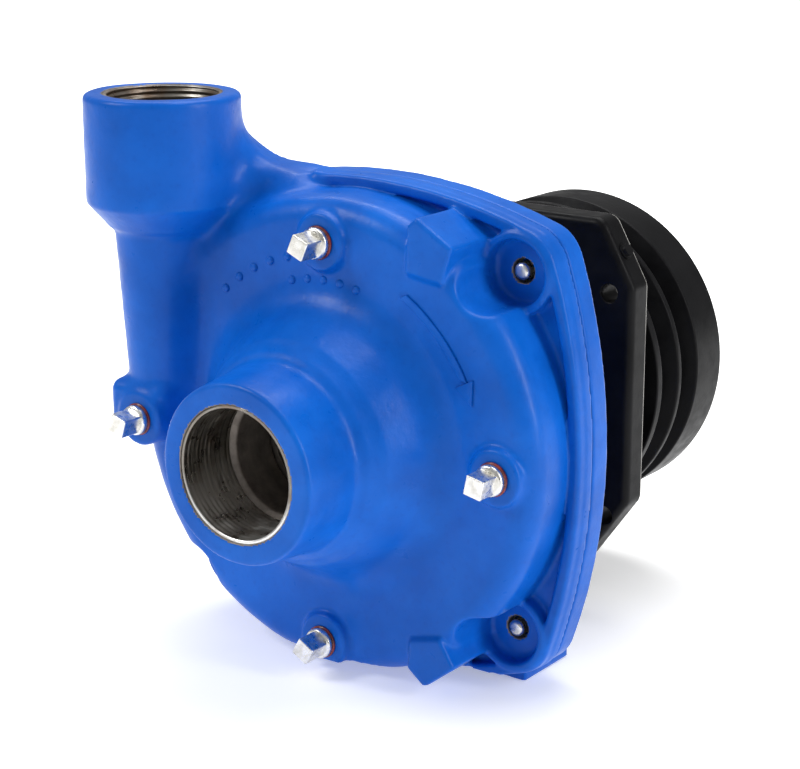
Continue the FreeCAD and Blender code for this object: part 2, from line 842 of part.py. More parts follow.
def barrel_hollow(name):
    """Seal pocket, shaft passage and bearing seat, bored from end to end."""
    front = flange_front()
    clear = dims.support_front - front + dims.barrel_end_thickness
    return turned(name, [
        (0, -OVERRUN),
        (dims.seal_pocket_radius, -OVERRUN),
        (dims.seal_pocket_radius, dims.seal_seat_front - front),
        (dims.seal_seat_pocket, dims.seal_seat_front - front),
        (dims.seal_seat_pocket, dims.seal_seat_back - front),
        (dims.shaft_passage_radius, dims.seal_seat_back - front),
        (dims.shaft_passage_radius, dims.front_bearing_station - front),
        (dims.bearing_outer_radius, dims.front_bearing_station - front),
        (dims.bearing_outer_radius, clear),
        (0, clear)], y=front)


def weep_slot(name):
    half_weep = dims.weep_width / 2
    return box(name, (-half_weep, dims.seal_seat_back, AXIS_HEIGHT - dims.barrel_end_radius),
               (half_weep, dims.front_bearing_station - OVERRUN, AXIS_HEIGHT))


def mounting_flange():
    front = flange_front()
    below = box("flange_ground_trim", (-OUTREACH, -OUTREACH, -OUTREACH), (OUTREACH, OUTREACH, 0))
    through = dims.mount_back - front + OVERRUN * 2
    return cut("mounting_flange", flange_plate("flange_plate"),
               [barrel_hollow("flange_bore"), below]
               + corner_holes("flange", front - OVERRUN, through))


def bearing_barrel():
    barrel = cylinder("barrel_tube", dims.barrel_radius, dims.support_front - dims.mount_back,
                      y=dims.mount_back)
    end_front = dims.support_front - dims.barrel_end_thickness
    end = cylinder("barrel_end", dims.barrel_end_radius, dims.barrel_end_thickness, y=end_front)
    tapped = circle_holes("barrel", dims.bracket_screw_circle, dims.bracket_screw_radius,
                          end_front - OVERRUN,
                          dims.barrel_end_thickness + OVERRUN * 2, DIAGONAL_DEGREES)
    return cut("bearing_barrel", fuse("barrel_blank", [barrel, end]),
               [barrel_hollow("barrel_bore"), weep_slot("barrel_weep")] + tapped)


def foot_block(name):
    half_depth = dims.foot_depth / 2
    return box(name, (-dims.foot_width / 2, -half_depth, 0),
               (dims.foot_width / 2, half_depth, dims.foot_thickness))


def foot():
    holes = [cylinder(f"foot_hole_{index}", dims.foot_hole_radius, dims.foot_thickness * 2,
                      x=side * dims.foot_hole_spacing / 2, y=dims.foot_hole_station,
                      z=-dims.foot_thickness / 2, turn=UPRIGHT) for index, side in enumerate((-1, 1))]
    return cut("foot", foot_block("foot_blank"), [flange_plate("foot_plate_seat")] + holes)


def barrel_ribs():
    """Four ribs between the flange and the barrel's end, and two gussets that stand on the foot."""
    half_rib = dims.rib_thickness / 2
    reach = dims.barrel_end_radius - dims.rib_inset
    end_front = dims.support_front - dims.barrel_end_thickness
    half_gusset = dims.gusset_thickness / 2
    pieces = [box("upright_rib", (-half_rib, dims.mount_back, AXIS_HEIGHT - reach),
                  (half_rib, end_front, AXIS_HEIGHT + reach)),
              box("level_rib", (-reach, dims.mount_back, AXIS_HEIGHT - half_rib),
                  (reach, end_front, AXIS_HEIGHT + half_rib))]
    pieces += [box(f"gusset_{index}",
                   (side * dims.gusset_offset - half_gusset, dims.mount_back, dims.foot_thickness),
                   (side * dims.gusset_offset + half_gusset, dims.foot_depth / 2,
                    AXIS_HEIGHT - dims.gusset_drop))
               for index, side in enumerate((-1, 1))]
    core = cylinder("rib_core", dims.barrel_radius, dims.support_front - dims.mount_back,
                    y=dims.mount_back)
    return cut("barrel_ribs", fuse("rib_blank", pieces), [core, weep_slot("rib_weep")])


DIAGONAL_DEGREES = 45


def circle_spots(radius, first_degrees, count=4):
    """Points evenly spaced on a circle round the shaft, as (x, z)."""
    spots = []
    for index in range(count):
        turn = math.radians(first_degrees + 360 * index / count)
        spots.append((radius * math.cos(turn), AXIS_HEIGHT + radius * math.sin(turn)))
    return spots


def circle_holes(owner, circle_radius, radius, station, length, first_degrees, count=4):
    return [cylinder(f"{owner}_circle_hole_{index}", radius, length, x=across, y=station, z=height)
            for index, (across, height) in enumerate(circle_spots(circle_radius, first_degrees, count))]


# ---------------------------------------------------------------- fasteners and plugs

def hexagon(name, radius, length, **spot):
    thing = doc.addObject("Part::Prism", name)
    thing.Polygon = 6
    bind(thing, "Circumradius", radius)
    bind(thing, "Height", length)
    return place(thing, **spot)


def flange_screws():
    screws = []
    tip = dims.flange_station + dims.screw_tip_recess
    shank = dims.screw_radius - dims.screw_clearance
    for index, (sign_x, sign_z) in enumerate(CORNERS):
        spot = {"x": sign_x * dims.screw_offset, "z": AXIS_HEIGHT + sign_z * dims.screw_offset}
        stem = cylinder(f"flange_screw_stem_{index}", shank, dims.mount_back - tip, y=tip, **spot)
        head = hexagon(f"flange_screw_head_{index}", dims.screw_head_radius, dims.screw_head_height,
                       y=dims.mount_back, **spot)
        screws.append(fuse(f"flange_screw_{index}", [stem, head]))
    return group("flange_screws", screws)


def pipe_plugs():
    plugs = []
    half = dims.plug_square / 2
    for index, (across, rise, face) in enumerate(plug_spots()):
        middle = AXIS_HEIGHT + rise
        collar_face = face - dims.plug_collar_stand
        thread = cylinder(f"plug_thread_{index}", dims.plug_thread_radius, dims.plug_thread_length,
                          x=across, y=face, z=middle)
        collar = cylinder(f"plug_collar_{index}", dims.plug_collar_radius, dims.plug_collar_length,
                          x=across, y=collar_face, z=middle)
        head = box(f"plug_head_{index}",
                   (across - half, collar_face - dims.plug_square_length, middle - half),
                   (across + half, collar_face, middle + half))
        neck = cylinder(f"plug_neck_{index}", dims.plug_thread_radius, dims.plug_neck_length,
                        x=across, y=face - dims.plug_neck_length, z=middle)
        plugs.append(fuse(f"pipe_plug_{index}", [thread, neck, collar, head]))
    return group("pipe_plugs", plugs)


def plug_sealant():
    rings = [turned(f"sealant_ring_{index}",
                    tube_profile(dims.plug_thread_radius, dims.plug_thread_radius + dims.sealant_width,
                                 dims.plug_neck_length, dims.sealant_bevel),
                    x=across, y=face - dims.plug_neck_length, z=AXIS_HEIGHT + rise)
             for index, (across, rise, face) in enumerate(plug_spots())]
    return group("plug_sealant", rings)


SOCKET_SHARE = 0.55     # of the head's radius


def socket_screws(name, circle_radius, radius, head_radius, head_front, head_length, tip, first):
    """Screws that point to -Y, with a hexagon socket in each head."""
    screws = []
    for index, (across, height) in enumerate(circle_spots(circle_radius, first)):
        spot = {"x": across, "z": height}
        stem = cylinder(f"{name}_stem_{index}", radius - dims.screw_clearance, head_front - tip,
                        y=tip, **spot)
        head = cylinder(f"{name}_head_{index}", head_radius, head_length, y=head_front, **spot)
        socket = hexagon(f"{name}_socket_{index}", head_radius * SOCKET_SHARE, head_length,
                         y=head_front + head_length / 2, **spot)
        screws.append(cut(f"{name}_{index}", fuse(f"{name}_blank_{index}", [stem, head]), [socket]))
    return group(name, screws)


# ---------------------------------------------------------------- bracket plate and pulley tube

ON_THE_FACE = 1e-6
BRACKET_COUNTERBORE = 7.0
BRACKET_COUNTERBORE_DEPTH = 8.5


def bracket_outline(sketch):
    """The plate seen from the pump: the sketch's own Y points down."""
    side = dims.bracket_half_width
    top = dims.bracket_half_height
    polygon(sketch, [
        (dims.bracket_corner_x, -top), (side, -dims.bracket_corner_z),
        (side, dims.bracket_low_corner_z), (dims.bracket_low_x, dims.bracket_low_z),
        (-dims.bracket_low_x, dims.bracket_low_z), (-side, dims.bracket_low_corner_z),
        (-side, -dims.bracket_corner_z), (-dims.bracket_corner_x, -top)])


def clutch_bracket():
    thickness = dims.support_back - dims.support_front
    body = new_body("bracket_body", y=dims.support_front)
    plate = add_pad(body, bracket_outline, thickness)
    doc.recompute()
    edges = []
    for number, edge in enumerate(plate.Shape.Edges, start=1):
        if max(abs(vertex.Z) for vertex in edge.Vertexes) < ON_THE_FACE:
            edges.append(f"Edge{number}")
    rounded = body.newObject("PartDesign::Fillet", "bracket_front_round")
    rounded.Base = (plate, edges)
    bind(rounded, "Radius", dims.bracket_round)
    bore = add_pocket(body, lambda sketch: circle(sketch, dims.bracket_bore_radius))
    bore.Label = "stub_bore"
    for sign_x, sign_y in CORNERS:
        add_pocket(body, lambda sketch: circle(
            sketch, dims.bracket_hole_radius, sign_x * dims.bracket_hole_x,
            sign_y * dims.bracket_hole_z))
    quarter = math.cos(math.pi / 4)
    spot = dims.bracket_screw_circle * quarter
    hole = add_pocket(body, lambda sketch: circle(sketch, dims.bracket_screw_radius, spot, spot))
    ring_pattern(body, hole, 4)
    counterbore = add_pocket(body, lambda sketch: circle(sketch, BRACKET_COUNTERBORE, spot, spot),
                             offset=thickness, depth=BRACKET_COUNTERBORE_DEPTH)
    ring_pattern(body, counterbore, 4)
    coil_hole = add_pocket(body, lambda sketch: circle(
        sketch, dims.coil_screw_radius, dims.coil_screw_circle, 0),
        offset=thickness, depth=dims.coil_screw_depth)
    ring_pattern(body, coil_hole, 4)
    depth = dims.clamp_hole_depth
    return cut("clutch_bracket", body, [edge_screw_part(
        "edge_screw_hole", dims.clamp_hole_radius, -depth, depth + OVERRUN)])


def edge_screw_part(name, radius, start, length):
    """A cylinder square to the plate's upper right bevel, from start outwards."""
    run = dims.bracket_half_width - dims.bracket_corner_x
    fall = dims.bracket_half_height - dims.bracket_corner_z
    slope = math.atan2(run.value, fall.value)
    outward = Vector(math.cos(slope), 0, math.sin(slope))
    across = dims.bracket_corner_x + run / 2 + start * outward.x
    height = AXIS_HEIGHT + dims.bracket_corner_z + fall / 2 + start * outward.z
    return cylinder(name, radius, length, x=across, y=(dims.support_front + dims.support_back) / 2,
                    z=height, turn=App.Rotation(Vector(0, 0, 1), outward))


def lead_clamp_screw():
    length = dims.clamp_stem_length
    stem = edge_screw_part("clamp_stem", dims.clamp_stem_radius, -length, length)
    washer = edge_screw_part("clamp_washer", dims.clamp_washer_radius, as_size(0),
                             dims.clamp_washer_thickness)
    head = edge_screw_part("clamp_head", dims.clamp_head_radius, dims.clamp_washer_thickness,
                           dims.clamp_head_height)
    return fuse("lead_clamp_screw", [stem, washer, head])


def pulley_stub():
    start = dims.support_front
    seat = dims.pulley_bearing_station - start
    plate = dims.support_back - start
    groove = seat + dims.pulley_bearing_width + dims.snap_groove_play
    groove_floor = dims.stub_radius - dims.snap_groove_depth
    groove_end = groove + dims.snap_groove_width
    return turned("pulley_stub", [
        (dims.stub_bore_radius, 0),
        (dims.bracket_bore_radius, 0),
        (dims.bracket_bore_radius, plate),
        (dims.stub_shoulder_radius, plate),
        (dims.stub_shoulder_radius, seat),
        (dims.stub_radius, seat),
        (dims.stub_radius, groove),
        (groove_floor, groove),
        (groove_floor, groove_end),
        (dims.stub_radius, groove_end),
        (dims.stub_radius, dims.stub_end - start - dims.small_bevel),
        (dims.stub_radius - dims.small_bevel, dims.stub_end - start),
        (dims.stub_bore_radius, dims.stub_end - start)], y=start)


def snap_ring(name, inner, outer, station, opening_side):
    """A retaining ring with a gap, square in section."""
    thickness = dims.snap_ring_thickness
    half_gap = dims.snap_ring_gap / 2
    ring = turned(f"{name}_ring", tube_profile(inner, outer, thickness), y=station)
    gap = box(f"{name}_gap", (-half_gap, station - OVERRUN, AXIS_HEIGHT + opening_side * inner / 2),
              (half_gap, station + thickness + OVERRUN,
               AXIS_HEIGHT + opening_side * (outer + OVERRUN)))
    return cut(name, ring, [gap])


# ---------------------------------------------------------------- ball bearings

def ball_bearing(prefix, station, bore, outer, width, race, ball, count, rows):
    """Outer race with shields, inner race and balls. rows lists each row's place across the width."""
    middle = (bore + outer) / 2
    lip = dims.shield_recess
    shield_edge = bore + race + dims.shield_gap
    outer_blank = turned(f"{prefix}_outer_blank", [
        (outer, 0), (outer, width), (shield_edge, width), (shield_edge, width - lip),
        (outer - race, width - lip), (outer - race, lip), (shield_edge, lip), (shield_edge, 0)],
        y=station)
    inner_blank = turned(f"{prefix}_inner_blank", tube_profile(bore, bore + race, width), y=station)
    tracks = []
    balls = []
    for row_number, row_place in enumerate(rows):
        level = station + width * row_place
        for side in ("outer", "inner"):
            track = doc.addObject("Part::Torus", f"{prefix}_{side}_track_{row_number}")
            bind(track, "Radius1", middle)
            bind(track, "Radius2", ball + dims.ball_play)
            tracks.append(place(track, y=level))
        for index, (across, height) in enumerate(circle_spots(middle, 0, count)):
            sphere = doc.addObject("Part::Sphere", f"{prefix}_ball_{row_number}_{index}")
            bind(sphere, "Radius", ball)
            balls.append(place(sphere, x=across, y=level, z=height))
    return [cut(f"{prefix}_outer", outer_blank, tracks[0::2]),
            cut(f"{prefix}_inner", inner_blank, tracks[1::2]),
            group(f"{prefix}_balls", balls)]


SHAFT_BALL_COUNT = 9
SHAFT_BALL_ROWS = [0.5]           # each row's place, as a share of the width
PULLEY_BALL_COUNT = 16
PULLEY_BALL_ROWS = [0.27, 0.73]


def shaft_bearing(prefix, station):
    return ball_bearing(prefix, station, dims.bearing_bore_radius, dims.bearing_outer_radius,
                        dims.bearing_width, dims.race_thickness, dims.ball_radius,
                        SHAFT_BALL_COUNT, SHAFT_BALL_ROWS)


def pulley_bearing():
    return ball_bearing("pulley_bearing", dims.pulley_bearing_station, dims.stub_radius,
                        dims.pulley_bearing_outer_radius, dims.pulley_bearing_width,
                        dims.pulley_race_thickness, dims.pulley_ball_radius,
                        PULLEY_BALL_COUNT, PULLEY_BALL_ROWS)


def bearing_retainer():
    start = dims.rear_bearing_station + dims.bearing_width
    return turned("bearing_retainer", tube_profile(
        dims.bearing_outer_radius - dims.retainer_width, dims.bearing_outer_radius,
        dims.support_front - start), y=start)


def bearing_spacer():
    start = dims.front_bearing_station + dims.bearing_width
    return turned("bearing_spacer", tube_profile(
        dims.bearing_outer_radius - dims.retainer_width, dims.bearing_outer_radius,
        dims.rear_bearing_station - start), y=start)


# ---------------------------------------------------------------- shaft, impeller and seal

def pump_shaft():
    nose = dims.shaft_nose_station
    front = dims.front_bearing_station - nose
    collar = front + dims.bearing_width
    rear = dims.rear_bearing_station - nose
    return turned("pump_shaft", [
        (0, 0),
        (dims.shaft_thread_radius - dims.shaft_nose_bevel, 0),
        (dims.shaft_thread_radius, dims.shaft_nose_bevel),
        (dims.shaft_thread_radius, dims.impeller_front - nose),
        (dims.impeller_seat_radius, dims.impeller_front - nose),
        (dims.impeller_seat_radius, dims.impeller_back - nose),
        (dims.seal_seat_radius, dims.impeller_back - nose),
        (dims.seal_seat_radius, front),
        (dims.bearing_bore_radius, front),
        (dims.bearing_bore_radius, collar),
        (dims.shaft_collar_radius, collar),
        (dims.shaft_collar_radius, rear),
        (dims.bearing_bore_radius, rear),
        (dims.bearing_bore_radius, rear + dims.bearing_width),
        (dims.shaft_tail_radius, rear + dims.bearing_width),
        (dims.shaft_tail_radius, dims.shaft_tail - nose - dims.shaft_tail_bevel),
        (dims.shaft_tail_radius - dims.shaft_tail_bevel, dims.shaft_tail - nose),
        (0, dims.shaft_tail - nose)], y=nose)


KEY_WIDTH = 4.0
KEY_DEPTH = 2.0


def key_box(name, radius, start, length):
    """A square key half sunk in a shaft of the given radius, on its upper side."""
    half = KEY_WIDTH / 2
    return box(name, (-half, start, AXIS_HEIGHT + radius - KEY_DEPTH),
               (half, start + length, AXIS_HEIGHT + radius + KEY_DEPTH))


def keyed_shaft():
    shaft = pump_shaft()
    shaft.Label = "shaft_blank"
    seat = key_box("impeller_key_seat", dims.impeller_seat_radius,
                   dims.impeller_back - dims.key_setback, dims.key_length)
    tapped = cylinder("hub_bolt_hole", dims.hub_bolt_hole_radius, dims.hub_bolt_hole_depth + OVERRUN,
                      y=dims.shaft_tail - dims.hub_bolt_hole_depth)
    whole = cut("pump_shaft_keyed", shaft, [seat, tapped])
    whole.Label = "pump_shaft"
    return whole


VANE_START = -77        # degrees round the vane's own centre
VANE_END = 36
VANE_COUNT = 6


def vane_outline(sketch):
    """A strip between two arcs about one centre, which trails the turning direction."""
    centre_x = dims.vane_centre_x
    centre_y = dims.vane_centre_y
    arcs = []
    for side in (-1, 1):
        size = dims.vane_radius + side * dims.vane_thickness / 2
        middle = Vector(-centre_x.value, -centre_y.value, 0)
        whole = Part.Circle(middle, Vector(0, 0, 1), size.value)
        arc = Part.ArcOfCircle(whole, math.radians(VANE_START), math.radians(VANE_END))
        geo = sketch.addGeometry(arc, False)
        index = sketch.addConstraint(Sketcher.Constraint("Radius", geo, size.value))
        sketch.setExpression(f"Constraints[{index}]", size.text)
        pin_point(sketch, geo, 3, -centre_x, -centre_y)
        arcs.append((geo, arc))
    for pos in (1, 2):
        ends = [arc.StartPoint if pos == 1 else arc.EndPoint for _, arc in arcs]
        line = sketch.addGeometry(Part.LineSegment(*ends), False)
        sketch.addConstraint(Sketcher.Constraint("Coincident", line, 1, arcs[0][0], pos))
        sketch.addConstraint(Sketcher.Constraint("Coincident", line, 2, arcs[1][0], pos))


def impeller():
    back = dims.impeller_back - dims.impeller_front
    shroud = dims.impeller_shroud
    vane_low = back - shroud - dims.vane_height
    body = new_body("impeller_body", y=dims.impeller_front)
    add_turned(body, [
        (dims.impeller_seat_radius, 0),
        (dims.impeller_hub_radius, 0),
        (dims.impeller_hub_radius + dims.hub_taper, vane_low + dims.hub_taper_length),
        (dims.impeller_hub_radius + dims.hub_flare, back - shroud),
        (dims.impeller_radius, back - shroud),
        (dims.impeller_radius, back),
        (dims.impeller_seat_radius, back)])
    root = dims.vane_root
    vane = add_pad(body, vane_outline, dims.vane_height + root * 2, offset=vane_low - root)
    ring_pattern(body, vane, VANE_COUNT)
    add_turned(body, [
        (dims.impeller_eye_radius, -dims.impeller_ring_reach),
        (dims.impeller_ring_radius, -dims.impeller_ring_reach),
        (dims.impeller_ring_radius, vane_low - shroud),
        (dims.impeller_radius, vane_low - shroud),
        (dims.impeller_radius, vane_low),
        (dims.impeller_eye_radius + dims.eye_bevel, vane_low),
        (dims.impeller_eye_radius, vane_low - dims.eye_bevel)])
    keyway = key_box("impeller_keyway", dims.impeller_seat_radius,
                     dims.impeller_back - dims.key_setback, dims.key_setback)
    return cut("impeller", body, [keyway])


def impeller_key():
    return relabel(key_box("impeller_key_blank", dims.impeller_seat_radius,
                           dims.impeller_back - dims.key_setback, dims.key_length), "impeller_key")


def relabel(thing, label):
    thing.Label = label
    return thing


def impeller_fasteners():
    front = dims.impeller_front
    seat = front - dims.nut_washer_thickness
    start = seat - dims.nut_height
    washer = turned("impeller_washer", tube_profile(
        dims.shaft_thread_radius, dims.nut_washer_radius, dims.nut_washer_thickness), y=seat)
    blank = hexagon("impeller_nut_blank", dims.nut_radius, dims.nut_height, y=start)
    bore = cylinder("impeller_nut_bore", dims.shaft_thread_radius, dims.nut_height + OVERRUN * 2,
                    y=start - OVERRUN)
    return [washer, cut("impeller_nut", blank, [bore])]


def shaft_seal():
    """Fixed ring and cup in the flange, turning face, case and bellows on the shaft."""
    seat_front = dims.seal_seat_front
    seat_depth = dims.seal_seat_back - seat_front
    seat = turned("seal_seat", tube_profile(dims.seal_seat_bore, dims.seal_seat_outer, seat_depth,
                                            dims.seal_bevel), y=seat_front)
    cup = turned("seal_cup", tube_profile(dims.seal_seat_outer, dims.seal_seat_pocket, seat_depth),
                 y=seat_front)
    face_start = seat_front - dims.seal_film - dims.seal_face_length
    face = turned("seal_face", tube_profile(
        dims.seal_face_bore, dims.seal_face_radius, dims.seal_face_length, dims.seal_bevel),
        y=face_start)
    floor = dims.seal_case_floor
    case_start = face_start - floor
    case = turned("seal_case", [
        (dims.seal_seat_radius, 0), (dims.seal_case_radius, 0),
        (dims.seal_case_radius, dims.seal_case_length), (dims.seal_face_radius, dims.seal_case_length),
        (dims.seal_face_radius, floor), (dims.seal_seat_radius, floor)], y=case_start)
    return [seat, cup, face, case, seal_bellows(case_start)]


def seal_bellows(end):
    """A folded rubber sleeve that presses the turning face back from the impeller."""
    start = dims.impeller_back
    fold = (end - start) / 4
    low = dims.seal_seat_radius
    wall = dims.bellows_wall
    crest = dims.bellows_radius
    return turned("seal_bellows", [
        (low, 0), (low + wall, 0), (crest, fold), (low + wall, fold * 2), (crest, fold * 3),
        (low + wall, fold * 4), (low, fold * 4)], y=start)


def slinger():
    width = dims.slinger_width
    return turned("slinger", [
        (dims.seal_seat_radius, 0), (dims.slinger_radius, 0), (dims.slinger_radius, dims.slinger_rim),
        (dims.slinger_back_radius, width), (dims.seal_seat_radius, width)],
        y=dims.seal_seat_back + dims.slinger_gap)


# ---------------------------------------------------------------- clutch coil

def coil_shell():
    start = dims.support_back
    front = dims.coil_front - start
    back = dims.coil_back - start
    wall = dims.coil_wall
    outer = dims.coil_outer_radius
    inner = dims.coil_inner_radius
    sleeve = dims.coil_sleeve_radius
    body = turned("coil_body", [
        (dims.bracket_bore_radius + dims.coil_bore_play, 0),
        (dims.coil_plate_radius, 0),
        (dims.coil_plate_radius, wall),
        (sleeve, wall),
        (sleeve, front),
        (outer, front),
        (outer, back),
        (outer - wall, back),
        (outer - wall, front + wall),
        (inner + wall, front + wall),
        (inner + wall, back),
        (inner, back),
        (inner, front),
        (sleeve - wall, front),
        (sleeve - wall, wall),
        (dims.bracket_bore_radius + dims.coil_bore_play, wall)], y=start)
    holes = circle_holes("coil", dims.coil_screw_circle, dims.coil_screw_radius, start - OVERRUN,
                         wall + OVERRUN * 2, 0)
    lead_hole = cylinder("lead_hole", dims.grommet_neck_radius, dims.coil_wall + OVERRUN * 2,
                         y=start + dims.grommet_station, z=AXIS_HEIGHT - sleeve - OVERRUN, turn=UPRIGHT)
    return cut("coil_shell", body, holes + [lead_hole])


def coil_filling():
    front = dims.coil_front + dims.coil_wall
    inner = dims.coil_inner_radius + dims.coil_wall
    outer = dims.coil_outer_radius - dims.coil_wall
    gap = dims.winding_gap
    winding = turned("coil_winding", tube_profile(inner + gap, outer - gap, dims.winding_length,
                                                  dims.winding_round), y=front + dims.winding_front_gap)
    cover = turned("coil_cover", tube_profile(inner, outer, dims.coil_cover_thickness,
                                              dims.coil_cover_bevel), y=front + dims.coil_cover_depth)
    return [winding, cover]


def lead_grommet():
    """The rubber bush where the coil's lead would leave the sleeve, pointing down."""
    bore = dims.grommet_bore
    neck = dims.grommet_neck_radius
    nose = dims.grommet_nose_radius
    collar = dims.grommet_collar_radius
    lip = dims.grommet_lip_radius
    shelf = dims.grommet_collar_end
    neck_end = shelf + dims.grommet_neck_length
    top = neck_end + dims.grommet_lip_height
    return turned("lead_grommet", [
        (bore, 0), (nose, 0), (collar, dims.grommet_taper), (collar, shelf), (neck, shelf),
        (neck, neck_end), (lip, neck_end), (lip, top), (bore, top)],
        y=dims.support_back + dims.grommet_station,
        z=AXIS_HEIGHT - dims.coil_sleeve_radius - dims.grommet_drop, turn=UPRIGHT)


# ---------------------------------------------------------------- pulley

def pulley_rotor():
    """Drum, friction web and bearing hub: the coil sits in its hollow front."""
    start = dims.pulley_front
    root = dims.pulley_radius - dims.groove_depth
    body = new_body("rotor_body", y=start)
    hub_start = dims.pulley_bearing_station - start - dims.rotor_ring_thickness
    lip_radius = dims.pulley_bearing_outer_radius - dims.bearing_lip
    add_turned(body, [
        (dims.drum_bore_radius, 0),
        (root, 0),
        (root, dims.pulley_back - start),
        (dims.drum_bore_radius, dims.pulley_back - start),
        (dims.drum_bore_radius, dims.web_back - start),
        (lip_radius, dims.web_back - start),
        (lip_radius,
         dims.pulley_bearing_station + dims.pulley_bearing_width - start),
        (dims.pulley_bearing_outer_radius,
         dims.pulley_bearing_station + dims.pulley_bearing_width - start),
        (dims.pulley_bearing_outer_radius, hub_start),
        (dims.hub_radius, hub_start),
        (dims.hub_radius, dims.web_front - start),
        (dims.drum_bore_radius, dims.web_front - start)])
    slot = add_pocket(body, slot_outline, offset=dims.web_back - start + OVERRUN,
                      depth=dims.web_back - dims.web_front + OVERRUN * 2)
    ring_pattern(body, slot, SLOT_COUNT)
    body.Label = "rotor_work"
    whole = doc.addObject("Part::Refine", "pulley_rotor")
    whole.Source = body
    return whole


SLOT_COUNT = 6
SLOT_HALF_DEGREES = 20


def slot_outline(sketch):
    """A curved flux slot in the web."""
    ends = []
    arcs = []
    for size in (dims.slot_inner_radius, dims.slot_outer_radius):
        whole = Part.Circle(Vector(), Vector(0, 0, 1), size.value)
        arc = Part.ArcOfCircle(whole, math.radians(-SLOT_HALF_DEGREES), math.radians(SLOT_HALF_DEGREES))
        geo = sketch.addGeometry(arc, False)
        index = sketch.addConstraint(Sketcher.Constraint("Radius", geo, size.value))
        sketch.setExpression(f"Constraints[{index}]", size.text)
        sketch.addConstraint(Sketcher.Constraint("Coincident", geo, 3, -1, 1))
        ends.append((arc.StartPoint, arc.EndPoint))
        arcs.append(geo)
    for pos in (1, 2):
        line = sketch.addGeometry(Part.LineSegment(ends[0][pos - 1], ends[1][pos - 1]), False)
        sketch.addConstraint(Sketcher.Constraint("Coincident", line, 1, arcs[0], pos))
        sketch.addConstraint(Sketcher.Constraint("Coincident", line, 2, arcs[1], pos))


EDGE_SLOPE = 0.3


def sheave_rings():
    """The three rings on the drum whose flanks make the two belt grooves."""
    root = dims.pulley_radius - dims.groove_depth
    rim = dims.pulley_radius
    edge = dims.groove_edge
    start = edge * EDGE_SLOPE
    flank = (dims.groove_top_width - dims.groove_bottom_width) / 2
    band = dims.rear_band_front
    band_back = dims.pulley_back
    rear = turned("sheave_rear", [
        (root, 0), (rim - edge, flank - start), (rim, flank + edge),
        (rim, band_back - band + flank - edge), (rim - edge, band_back - band + flank),
        (root, band_back - band + flank)], y=band - flank)
    land = dims.groove_pitch - dims.groove_top_width
    middle_centre = band - dims.groove_top_width - land / 2
    half_root = land / 2 + flank
    middle = turned("sheave_middle", [
        (root, 0), (rim - edge, flank - start), (rim, flank + edge), (rim, flank + land - edge),
        (rim - edge, flank + land + start), (root, half_root * 2)], y=middle_centre - half_root)
    front_start = dims.pulley_front
    front_land_end = band - dims.groove_pitch - dims.groove_top_width - front_start
    front = turned("sheave_front", [
        (root, 0), (rim - edge, 0), (rim, edge), (rim, front_land_end - edge),
        (rim - edge, front_land_end + start), (root, front_land_end + flank)], y=front_start)
    return [front, middle, rear]


def rotor_snap_ring():
    thickness = dims.rotor_ring_thickness
    outer = dims.pulley_bearing_outer_radius
    return turned("rotor_retainer", tube_profile(outer - dims.rotor_ring_width, outer, thickness),
                  y=dims.pulley_bearing_station - thickness)


# ---------------------------------------------------------------- armature and hub

ARM_COUNT = 3
HUB_RIVET_DEGREES = 60


def armature_plate():
    start = dims.web_back + dims.armature_gap
    return turned("armature_plate", tube_profile(
        dims.armature_inner_radius, dims.armature_outer_radius, dims.armature_thickness,
        dims.small_bevel), y=start)


def spring_plate():
    """A flat three-armed spring: its ring is riveted to the hub, its arms to the armature."""
    start = dims.web_back + dims.armature_gap + dims.armature_thickness
    body = new_body("spring_body", y=start)
    thickness = dims.spring_thickness
    add_turned(body, tube_profile(dims.spring_ring_inner, dims.spring_ring_outer, thickness))
    root = dims.arm_root_half_width
    tip = dims.arm_tip_half_width
    arm = add_pad(body, lambda sketch: polygon(sketch, [
        (dims.arm_root, -root), (dims.arm_tip, -tip), (dims.arm_tip, tip), (dims.arm_root, root)]),
        thickness)
    ring_pattern(body, arm, ARM_COUNT)
    holes = circle_holes("spring", dims.hub_rivet_circle, dims.rivet_radius + dims.rivet_play,
                         start - OVERRUN, thickness + OVERRUN * 2, HUB_RIVET_DEGREES, ARM_COUNT)
    return cut("spring_plate", body, holes)


def rivet_head(name, across, station, height):
    """A low domed head."""
    radius = dims.rivet_head_radius
    rise = dims.rivet_head_height
    return turned(name, [(0, 0), (radius, 0), (radius - dims.rivet_head_draft, rise / 2),
                         (radius / 2, rise), (0, rise)], x=across, y=station, z=height)


def spring_back():
    return dims.web_back + dims.armature_gap + dims.armature_thickness + dims.spring_thickness


def armature_rivets():
    spots = circle_spots(dims.armature_rivet_circle, 0, ARM_COUNT)
    return group("armature_rivets", [rivet_head(f"armature_rivet_{index}", across, spring_back(), height)
                                     for index, (across, height) in enumerate(spots)])


def armature_hub():
    start = dims.web_back - dims.hub_reach
    plate = dims.hub_plate_front - start
    back = dims.hub_plate_back - start
    body = turned("hub_body", [
        (dims.shaft_tail_radius, 0),
        (dims.hub_barrel_radius, 0),
        (dims.hub_barrel_radius, plate),
        (dims.hub_plate_radius, plate),
        (dims.hub_plate_radius, back),
        (dims.hub_barrel_radius + dims.hub_step, back),
        (dims.hub_barrel_radius + dims.hub_step / 2, back + dims.hub_step),
        (dims.hub_nose_radius, back + dims.hub_step),
        (dims.hub_nose_radius, dims.shaft_tail - start),
        (dims.shaft_tail_radius, dims.shaft_tail - start)], y=start)
    holes = circle_holes("hub", dims.hub_rivet_circle, dims.rivet_radius, start,
                         dims.hub_plate_back - start + OVERRUN, HUB_RIVET_DEGREES, ARM_COUNT)
    return cut("armature_hub", body, holes)


